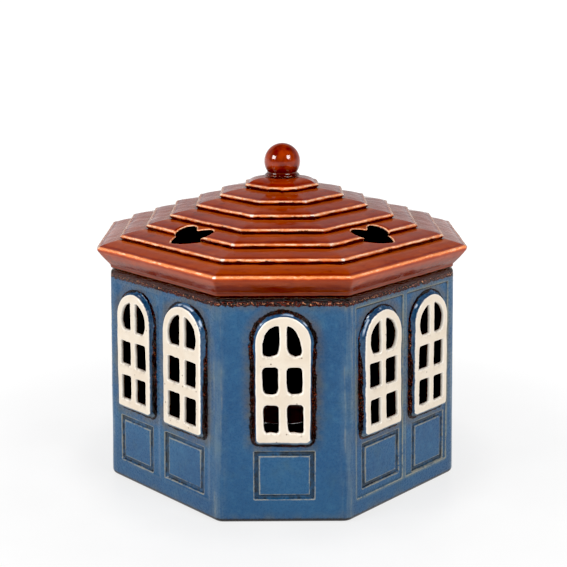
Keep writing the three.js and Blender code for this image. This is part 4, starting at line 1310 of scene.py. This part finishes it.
def cream_glaze():
    t = Tree("cream_glaze")
    hgt, od, rv, so, sp, cut, sill = [t.attr(k) for k in ("hgt", "od", "rv", "so", "sp", "cut", "sill")]
    cloud = t.noise(8, 3, 0.5, 1)
    fine = t.noise(0.9, 3, 0.6, 2)
    cream = t.mix(t.step(cloud, -0.5, 0.5), lin(205, 191, 172), lin(212, 201, 185))
    cream = t.mix(t.mul(t.step(fine, 0.1, 0.7), 0.25), cream, lin(196, 176, 150))
    # where the front rounds over to an edge the cream is lighter and whiter
    edge = t.mx(t.step(so, 1.1, 0.2), t.step(sp, 0.9, 0.15))
    cream = t.mix(t.mul(edge, 0.7), cream, lin(238, 232, 222))
    d, cell = t.spots(2.1, 3)
    speck = t.mul(t.step(d, 0.20, 0.10), t.step(cell, 0.85, 0.88))
    cream = t.mix(t.mul(speck, 0.85), cream, lin(78, 52, 36))
    # sills are dirty; the pane reveals get darker inwards, brown glaze together with painted shade of the unlit inside
    dirt = t.mul(sill, t.step(t.add(fine, t.mul(t.noise(2.4, 2, 0.5, 13), 0.8)), -0.15, 0.45))
    cream = t.mix(t.mul(dirt, 0.75), cream, lin(124, 104, 84))
    cream = t.mix(t.step(t.add(rv, t.mul(fine, 0.03)), 0.02, 0.15), cream, lin(44, 20, 11))
    cream = t.mix(t.step(rv, 0.16, 0.36), cream, lin(12, 6, 4))
    # outer side: blue glaze, then the dark broken line at the foot
    blue = t.mix(t.step(t.noise(1.4, 3, 0.6, 5), -0.4, 0.5), lin(24, 56, 90), lin(50, 88, 120))
    blue = t.mix(t.mul(t.step(t.z, 38.8, 37.8), 0.7), blue, lin(104, 118, 126))
    bz = t.add(hgt, t.mul(t.noise(2.2, 2, 0.5, 6), 0.22))
    thick = t.sub(t.add(so, t.mul(t.noise(1.3, 2, 0.5, 12), 0.16)), t.add(cut, t.mul(t.step(t.z, 38.8, 37.8), 0.75)))
    col = t.mix(t.mx(t.step(thick, 0.08, -0.08), t.mul(t.step(bz, 2.0, 1.65), t.step(od, 0.01, 0.12))), cream, blue)
    j1 = t.add(t.mul(t.noise(1.2, 3, 0.6, 7), 0.8), t.mul(t.noise(4.5, 2, 0.5, 8), 0.7))
    # it climbs the sides, thins out over the arch and is only a line under the sill
    climb = t.add(t.step(t.z, 36.9, 40.2, -0.75, 0.0), t.add(t.step(t.z, 60.0, 84.0, 0.45, -0.55), t.mul(t.noise(7.0, 1, 0.5, 16), 0.9)))
    lside = t.step(t.mn(t.m("ABSOLUTE", t.x), t.m("ABSOLUTE", t.y)), 24.0, 27.0)
    climb = t.sub(climb, t.mul(lside, 0.3))
    dark = t.mul(t.step(t.sub(t.add(hgt, t.mul(j1, 0.5)), climb), 1.5, 1.25), t.step(od, 0.01, 0.1))
    spk = t.noise(0.5, 2, 0.6, 9)
    zone = t.mul(t.step(t.noise(6.0, 2, 0.5, 18), -0.3, 0.4, 0.1, 1.0), t.step(t.z, 82.0, 88.0, 1.0, 0.55))
    # in the dark ring the red-brown specks are the glaze's own; the brightest orange-white specks are painted glints
    dcol = t.mix(t.mul(t.step(spk, 0.0, 0.3), zone), lin(10, 5, 3), lin(122, 46, 16))
    dcol = t.mix(t.mul(t.step(spk, 0.34, 0.46), zone), dcol, lin(222, 146, 94))
    col = t.mix(dark, col, dcol)
    # painted highlight: blue-white glints on the shoulders of the arch
    sh = t.mul(t.step(t.m("ABSOLUTE", t.sub(hgt, 1.25)), 0.55, 0.2), t.mul(t.step(t.z, 80.5, 83.5), t.step(t.z, 93.5, 91.5)))
    sh = t.mul(t.mul(sh, t.step(od, 0.05, 0.2)), t.step(t.add(t.noise(5.0, 2, 0.5, 21), t.mul(j1, 0.2)), 0.05, 0.22))
    col = t.mix(t.mul(sh, 0.85), col, lin(196, 214, 236))
    rough = t.add(0.16, t.mul(t.step(fine, -0.5, 0.6), 0.08))
    rough = t.add(rough, t.mul(rv, 0.5))
    rough = t.sub(rough, t.mul(dark, 0.03))
    n1 = t.bump(t.add(t.noise(1.8, 2, 0.5, 11), t.mul(speck, -1.5)), 0.05)
    n2 = t.bump(t.mul(dark, spk), 0.9, n1)
    return t.done(col, rough, n2, Specular_IOR_Level=0.5)


def brown_glaze(knob=False):
    t = Tree("brown_glaze_knob" if knob else "brown_glaze")
    cloud = t.noise(17, 3, 0.5, 1)
    mid = t.noise(4, 3, 0.55, 2)
    fine = t.noise(1.0, 3, 0.6, 3)
    base = t.mix(t.step(cloud, -0.5, 0.5), lin(128, 36, 7), lin(148, 52, 11))
    if knob:
        base = t.mix(t.step(t.noise(5.0, 2, 0.5, 24), -0.35, 0.35), lin(104, 22, 4), lin(150, 50, 10))
        # painted shade: the lower half of the knob is darker
        base = t.mix(t.mul(t.step(t.add(t.z, t.mul(mid, 0.8)), 143.0, 139.6), 0.85), base, lin(58, 8, 2))
    else:
        base = t.mix(t.mul(t.step(t.add(t.z, t.mul(cloud, 3.0)), 120, 107), 0.6), base, lin(158, 64, 18))
        base = t.mix(t.mul(t.step(t.add(t.z, t.mul(mid, 1.0)), 107.5, 103.5), 0.9), base, lin(104, 36, 8))
        run = t.noise(2.4, 3, 0.6, 14, (0.22, 0.22, 1.6))      # runs along the courses
        base = t.mix(t.mul(t.step(run, 0.05, 0.5), 0.45), base, lin(176, 78, 28))
        base = t.mix(t.mul(t.step(run, -0.05, -0.5), 0.55), base, lin(92, 16, 3))
    base = t.mix(t.mul(t.step(mid, 0.1, 0.8), 0.35), base, lin(170, 68, 18))
    base = t.mix(t.mul(t.step(mid, -0.1, -0.7), 0.35), base, lin(88, 14, 3))
    base = t.mix(t.mul(t.step(fine, 0.3, 0.7), 0.12), base, lin(160, 70, 28))
    if knob:
        jt = t.attr("jt")
        j = t.add(jt, t.mul(fine, 0.35))
        base = t.mix(t.step(j, 0.35, 0.7), base, lin(60, 12, 4))
        d, cell = t.spots(1.2, 2)
        bub = t.mul(t.step(j, 0.4, 0.8), t.step(d, 0.45, 0.1))
        base = t.mix(t.mul(bub, 0.6), base, lin(170, 74, 34))
        rough = t.add(0.07, t.mul(t.step(mid, -0.5, 0.6), 0.04))
        n1 = t.bump(t.noise(3.0, 2, 0.5, 11), 0.05)
        n2 = t.bump(bub, 0.3, n1)
        return t.done(base, rough, n2, Specular_IOR_Level=0.5, Coat_Weight=0.0)
    lc, lr, crn, hd, ins, kind = [t.attr(k) for k in ("lc", "lr", "crn", "hd", "ins", "kind")]
    # glaze breaks to orange on the lips; their crests carry a painted highlight and painted glints, and painted shadow
    # lies below them
    nb = t.add(t.mul(mid, 0.5), t.mul(fine, 0.35))
    brk = t.step(t.add(lc, t.mul(nb, 0.6)), 1.15, 0.6)
    painted_lip_highlight = t.step(t.add(lc, t.mul(nb, 0.7)), 0.66, 0.25)
    painted_lip_glint = t.mul(t.step(t.add(lc, t.mul(fine, 0.25)), 0.45, 0.12), t.step(t.add(t.add(t.noise(4.2, 2, 0.6, 15), t.mul(fine, 0.5)), t.step(t.z, 112.5, 111.0, 0.0, -0.25)), -0.28, 0.25))
    hip = t.mul(t.step(t.add(crn, t.mul(mid, 0.3)), 0.8, 0.2), 0.04)
    hedge = t.mul(t.step(t.add(hd, t.mul(nb, 0.5)), 0.6, 0.1), t.step(ins, 0.5, 0.3))
    # thick dark-red glaze just above each lip; a lighter band at the top of each course is painted sheen
    up = t.step(t.z, 107.0, 108.5)
    top = t.mul(t.mul(t.step(t.add(lr, t.mul(run, 0.6)), 0.9, 1.5), t.step(t.add(lr, t.mul(run, 1.6)), 5.2, 1.8)), t.step(lc, 2.0, 3.2))
    base = t.mix(t.mul(t.mul(top, up), 0.42), base, lin(196, 104, 56))
    abv = t.mul(t.step(lc, 1.0, 1.35), t.step(t.add(lc, t.mul(run, 0.7)), 3.0, 1.9))
    base = t.mix(t.mul(t.mul(abv, up), 0.62), base, lin(112, 16, 2))
    base = t.mix(t.mul(t.mx(brk, t.mx(hip, hedge)), 0.85), base, lin(202, 82, 26))
    # painted highlight along each lip's crest and on the heart edges, then brighter painted glints in patches
    base = t.mix(t.mul(t.mx(painted_lip_highlight, t.mul(hedge, 0.4)), 0.85), base, lin(244, 150, 92))
    base = t.mix(t.mul(t.mx(painted_lip_glint, t.mul(hedge, t.step(fine, -0.35, 0.3))), 0.9), base, lin(255, 214, 176))
    # painted glints: white spots where a lip turns a corner
    painted_corner_glint = t.mul(t.step(t.add(crn, t.mul(mid, 0.5)), 1.3, 0.5), t.step(lc, 0.75, 0.4))
    base = t.mix(t.mul(t.mul(painted_corner_glint, up), t.mul(t.step(t.noise(4.0, 1, 0.5, 22), -0.1, 0.2), 0.9)), base, lin(255, 240, 226))
    # painted sheen: on the left and right sides the lips are painted pale and hardly orange
    painted_side_sheen = t.step(t.sub(t.m("ABSOLUTE", t.y), t.mul(t.m("ABSOLUTE", t.x), 0.345)), 0.6, -0.6)
    base = t.mix(t.mul(t.mul(t.mul(t.mx(brk, painted_lip_highlight), up), painted_side_sheen), 0.8), base, lin(170, 130, 112))
    # painted shadow: a dark line at the foot of each riser under the lip's overhang, and a softer painted shade band
    # beside it
    painted_lip_shadow = t.add(lr, t.add(t.mul(t.noise(6.0, 2, 0.5, 16), 1.2), t.mul(fine, 0.5)))
    base = t.mix(t.mul(t.step(painted_lip_shadow, 1.1, 0.7), 0.97), base, lin(16, 4, 2))
    base = t.mix(t.mul(t.step(t.add(lr, t.mul(run, 0.6)), 1.9, 0.9), 0.5), base, lin(84, 20, 6))
    # foot of the fascia: dark and broken
    fz = t.add(t.z, t.mul(t.noise(2.5, 2, 0.5, 7), 0.5))
    spk = t.noise(0.6, 2, 0.6, 9)
    fcol = t.mix(t.step(spk, 0.0, 0.6), lin(48, 30, 20), lin(104, 62, 40))
    base = t.mix(t.mul(t.step(fz, 100.3, 99.8), 0.9), base, fcol)
    base = t.mix(t.mul(t.step(t.m("ABSOLUTE", t.sub(fz, 101.2)), 0.6, 0.15), 0.3), base, lin(50, 12, 4))
    # painted shade: the inside of the roof is near-black, as if unlit
    inside = t.mix(t.step(mid, -0.4, 0.5), lin(14, 7, 5), lin(30, 14, 9))
    base = t.mix(t.step(ins, 0.30, 0.5), base, inside)
    rough = t.add(0.13, t.mul(t.step(mid, -0.5, 0.6), 0.05))
    rough = t.add(rough, t.mul(brk, 0.05))
    rough = t.add(rough, t.mul(t.step(ins, 0.3, 0.6), 0.35))
    n1 = t.bump(t.noise(3.6, 2, 0.5, 11), 0.06)
    d, cell = t.spots(1.6, 2)
    pit = t.mul(t.step(d, 0.16, 0.05), t.step(cell, 0.9, 0.93))
    n2 = t.bump(t.sub(t.mul(brk, t.add(t.mul(fine, 0.6), t.mul(mid, 0.5))), pit), 0.35, n1)
    return t.done(base, rough, n2, Specular_IOR_Level=0.31, Coat_Weight=0.0)


def cup_metal(name, tone):
    t = Tree(name)
    fine = t.noise(0.6, 3, 0.6, 1)
    scr = t.noise(0.5, 3, 0.7, 2, (1, 1, 9))
    base = t.mix(t.step(fine, -0.5, 0.6), tone, tuple(min(1, c * 1.12) for c in tone))
    rough = t.add(0.24, t.mul(t.step(scr, -0.5, 0.5), 0.16))
    return t.done(base, rough, t.bump(t.add(scr, t.mul(fine, 0.5)), 0.02), Metallic=1.0)


def wax_painted_shade_mat():
    t = Tree("wax")
    c = t.noise(6, 3, 0.5, 1)
    f = t.noise(0.8, 3, 0.6, 2)
    # painted shade: the wax is painted dark brown so that it stays dark inside the house
    base = t.mix(t.step(c, -0.5, 0.5), lin(56, 26, 17), lin(72, 35, 22))
    base = t.mix(t.mul(t.step(f, 0.2, 0.7), 0.3), base, lin(92, 50, 33))
    rough = t.add(0.38, t.mul(t.step(f, -0.5, 0.6), 0.12))
    return t.done(base, rough, t.bump(t.add(c, t.mul(f, 0.3)), 0.05), Specular_IOR_Level=0.3)


def cotton_mat():
    t = Tree("wick_cotton")
    burn = t.attr("burn")
    f = t.noise(0.3, 3, 0.6, 1)
    base = t.mix(t.step(f, -0.5, 0.5), lin(218, 208, 184), lin(240, 233, 216))
    base = t.mix(burn, base, lin(24, 20, 18))
    return t.done(base, t.add(0.75, t.mul(f, 0.08)), t.bump(f, 0.08), Sheen_Weight=0.2)


def painted_shade_inside():
    """Painted shade: the near-black, unglazed inside of the house and the roof, also used deep in the pane reveals."""
    t = Tree("painted_shade_inside")
    c = t.noise(9, 3, 0.55, 1)
    f = t.noise(1.1, 3, 0.6, 2)
    base = t.mix(t.step(c, -0.4, 0.5), lin(12, 10, 9), lin(22, 17, 14))
    base = t.mix(t.mul(t.step(f, 0.1, 0.6), 0.4), base, lin(32, 25, 20))
    return t.done(base, t.add(0.85, t.mul(f, 0.08)), t.bump(t.add(c, f), 0.1), Specular_IOR_Level=0.0)


def floor_mat():
    t = Tree("studio_floor")
    f = t.noise(40, 2, 0.5, 1)
    base = t.mix(t.step(f, -0.5, 0.5), (0.10, 0.10, 0.101), (0.12, 0.12, 0.121))
    r = t.m("SQRT", t.add(t.mul(t.x, t.x), t.mul(t.y, t.y)))
    far = t.step(r, 95.0, 270.0)
    base = t.mix(far, base, (0.0, 0.0, 0.0))
    t.bsdf.inputs["Emission Color"].default_value = (1, 1, 1, 1)
    # painted shadow: the floor's glow is a little weaker in a ring round the house
    t.put(t.bsdf.inputs["Emission Strength"], t.sub(t.add(0.83, t.mul(far, 0.19)), t.mul(t.step(r, 112.0, 84.0), 0.055)))
    return t.done(base, 0.42, None, Specular_IOR_Level=0.25)


# ------------------------------------------------------------------ build
def set_mat(ob, mat):
    ob.data.materials.clear()
    ob.data.materials.append(mat)


def second_mat(ob, mat, attr, level):
    """Faces whose corners all have that value above the level take a second material."""
    me = ob.data
    me.materials.append(mat)
    v = np.zeros(len(me.vertices), np.float32)
    me.attributes[attr].data.foreach_get("value", v)
    nl = len(me.loops)
    vi = np.zeros(nl, np.int32)
    me.loops.foreach_get("vertex_index", vi)
    st = np.zeros(len(me.polygons), np.int32)
    me.polygons.foreach_get("loop_start", st)
    low = np.minimum.reduceat(v[vi], st)
    me.polygons.foreach_set("material_index", (low > level).astype(np.int32))
    me.update()


M_BLUE, M_CREAM, M_BROWN, M_KNOB, M_PAINTED_SHADE = blue_glaze(), cream_glaze(), brown_glaze(), brown_glaze(True), painted_shade_inside()

house = make_house()
fix_normals(house)
set_mat(house, M_BLUE)
second_mat(house, M_PAINTED_SHADE, "inn", 0.5)
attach(house, "house")
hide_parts("house_body")

wins = []
i = 0
for k in range(8):
    if k % 2 == 0:
        todo = [("window_" + SIDES[k], 0.0)]
    else:
        todo = [("window_%s_a" % SIDES[k], -WIN_U), ("window_%s_b" % SIDES[k], WIN_U)]
    for node, cu in todo:
        w = make_window(k, cu, node, i)
        i += 1
        fix_normals(w)
        set_mat(w, M_CREAM)
        second_mat(w, M_PAINTED_SHADE, "rv", 0.72)
        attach(w, "house")
        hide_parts(node)
        wins.append(w)

roof = make_roof()
fix_normals(roof)
set_mat(roof, M_BROWN)
second_mat(roof, M_PAINTED_SHADE, "ins", 0.75)
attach(roof, "lid")
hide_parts("roof_lid")

knob = make_knob()
fix_normals(knob)
set_mat(knob, M_KNOB)
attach(knob, "lid")
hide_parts("roof_knob")

for ob, node, mat, slot in ((make_cup(), "tealight_cup", cup_metal("cup_metal", (0.78, 0.785, 0.80)), "cup_metal"),
                            (make_wax(), "tealight_wax", wax_painted_shade_mat(), "wax"),
                            (make_sustainer(), "wick_sustainer", cup_metal("sustainer_metal", (0.62, 0.63, 0.64)), "sustainer_metal"),
                            (make_wick(), "wick", cotton_mat(), "wick_cotton")):
    fix_normals(ob)
    set_mat(ob, mat)
    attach(ob, "tealight")
    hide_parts(node)

for ob in [house, roof, knob, wins[0], wins[6]] + wins[1:3]:
    n, vol = open_edges(ob)
    print("MESH", ob.name, "faces", len(ob.data.polygons), "open edges", n, "volume cm3", round(vol * 1e6, 2))

# ------------------------------------------------------------------ floor, light, camera
fm = bpy.data.meshes.new("floor")
g = 6.0
fm.from_pydata([(-g, -g, 0), (g, -g, 0), (g, g, 0), (-g, g, 0)], [], [(0, 1, 2, 3)])
floor = bpy.data.objects.new("floor", fm)
bpy.context.scene.collection.objects.link(floor)
set_mat(floor, floor_mat())


def softbox(name, azimuth, elevation, dist, w, h, power, colour=(1, 1, 1)):
    """A rectangular soft light; azimuth 0 is in front, positive to the right."""
    a, e = math.radians(azimuth), math.radians(elevation)
    d = (math.sin(a) * math.cos(e), -math.cos(a) * math.cos(e), math.sin(e))
    li = bpy.data.lights.new(name, "AREA")
    li.shape = "RECTANGLE"
    li.size, li.size_y = w, h
    li.energy = power
    li.color = colour
    ob = bpy.data.objects.new(name, li)
    ob.location = (d[0] * dist, d[1] * dist, d[2] * dist + 0.08)
    from mathutils import Vector
    ob.rotation_mode = "QUATERNION"
    ob.rotation_quaternion = Vector(d).to_track_quat("Z", "Y")
    bpy.context.scene.collection.objects.link(ob)
    return ob


softbox("soft_left", -61, 27, 1.6, 0.66, 0.58, 23.0)
softbox("soft_right", 46, 32, 1.6, 0.60, 0.58, 20.5)

world = bpy.data.worlds.new("studio")
bpy.context.scene.world = world
world.use_nodes = True
wt = world.node_tree
wt.nodes.clear()
wo = wt.nodes.new("ShaderNodeOutputWorld")
bg = wt.nodes.new("ShaderNodeBackground")
tc = wt.nodes.new("ShaderNodeTexCoord")
sx = wt.nodes.new("ShaderNodeSeparateXYZ")
asn = wt.nodes.new("ShaderNodeMath")
asn.operation = "ARCSINE"
ramp = wt.nodes.new("ShaderNodeValToRGB")
mr = wt.nodes.new("ShaderNodeMapRange")
mr.inputs[1].default_value, mr.inputs[2].default_value = 0.0, math.pi / 2
wt.links.new(tc.outputs["Generated"], sx.inputs[0])
wt.links.new(sx.outputs["Z"], asn.inputs[0])
wt.links.new(asn.outputs[0], mr.inputs[0])
wt.links.new(mr.outputs[0], ramp.inputs[0])
ramp.color_ramp.elements[0].position = 0.0
ramp.color_ramp.elements[0].color = (1.03, 1.03, 1.03, 1)
ramp.color_ramp.elements[1].position = 1.0
ramp.color_ramp.elements[1].color = (0.02, 0.02, 0.02, 1)
for pos_, v in ((0.04, 0.92), (0.08, 0.66), (0.14, 0.50), (0.22, 0.46), (0.32, 0.42), (0.42, 0.34), (0.5, 0.16), (0.6, 0.04)):
    el = ramp.color_ramp.elements.new(pos_)
    el.color = (v, v, v * 1.01, 1)
wt.links.new(ramp.outputs[0], bg.inputs["Color"])
side_ = wt.nodes.new("ShaderNodeMapRange")        # the white backdrop is behind, the front half of the studio is dimmer
side_.interpolation_type = "SMOOTHSTEP"
for n_, v_ in enumerate((-0.35, 0.35, 0.40, 1.0)):
    side_.inputs[n_ + 1].default_value = v_
wt.links.new(sx.outputs["Y"], side_.inputs[0])
wt.links.new(side_.outputs[0], bg.inputs["Strength"])
wt.links.new(bg.outputs[0], wo.inputs["Surface"])

# camera from the fit to the photo's corner points; its frame is 567 x 567
F, YAW, PITCH, ROLL, CX, CZ, DIST = 1146.492, 0.0063488, 0.2579581, 0.0020028, 0.0095869, 1.0621700, 6.8242312
cd = bpy.data.cameras.new("camera")
cam = bpy.data.objects.new("camera", cd)
bpy.context.scene.collection.objects.link(cam)
cd.sensor_fit = "HORIZONTAL"
cd.sensor_width = 36.0
cd.sensor_height = 36.0
cd.lens = F / 567.0 * 36.0
cd.clip_start, cd.clip_end = 0.02, 50.0
from mathutils import Matrix, Vector
cp, sp = math.cos(PITCH), math.sin(PITCH)
fwd, up, right = Vector((0, cp, -sp)), Vector((0, sp, cp)), Vector((1, 0, 0))
cr, sr = math.cos(ROLL), math.sin(ROLL)
right2, up2 = right * cr - up * sr, right * sr + up * cr
Rz = Matrix.Rotation(-YAW, 3, "Z")
origin = Rz @ ((Vector((CX, 0, CZ)) - DIST * fwd) * 0.08)
R3 = Rz @ Matrix((right2, up2, -fwd)).transposed()
cam.matrix_world = Matrix.Translation(origin) @ R3.to_4x4()
bpy.context.scene.camera = cam

vs = bpy.context.scene.view_settings
vs.view_transform = "Standard"
vs.look = "None"
vs.exposure = 0.0
vs.gamma = 1.0
vs.use_curve_mapping = True          # the photo's deep blacks
vs.curve_mapping.black_level = (0.012, 0.012, 0.012)
vs.curve_mapping.update()

bpy.context.view_layer.update()
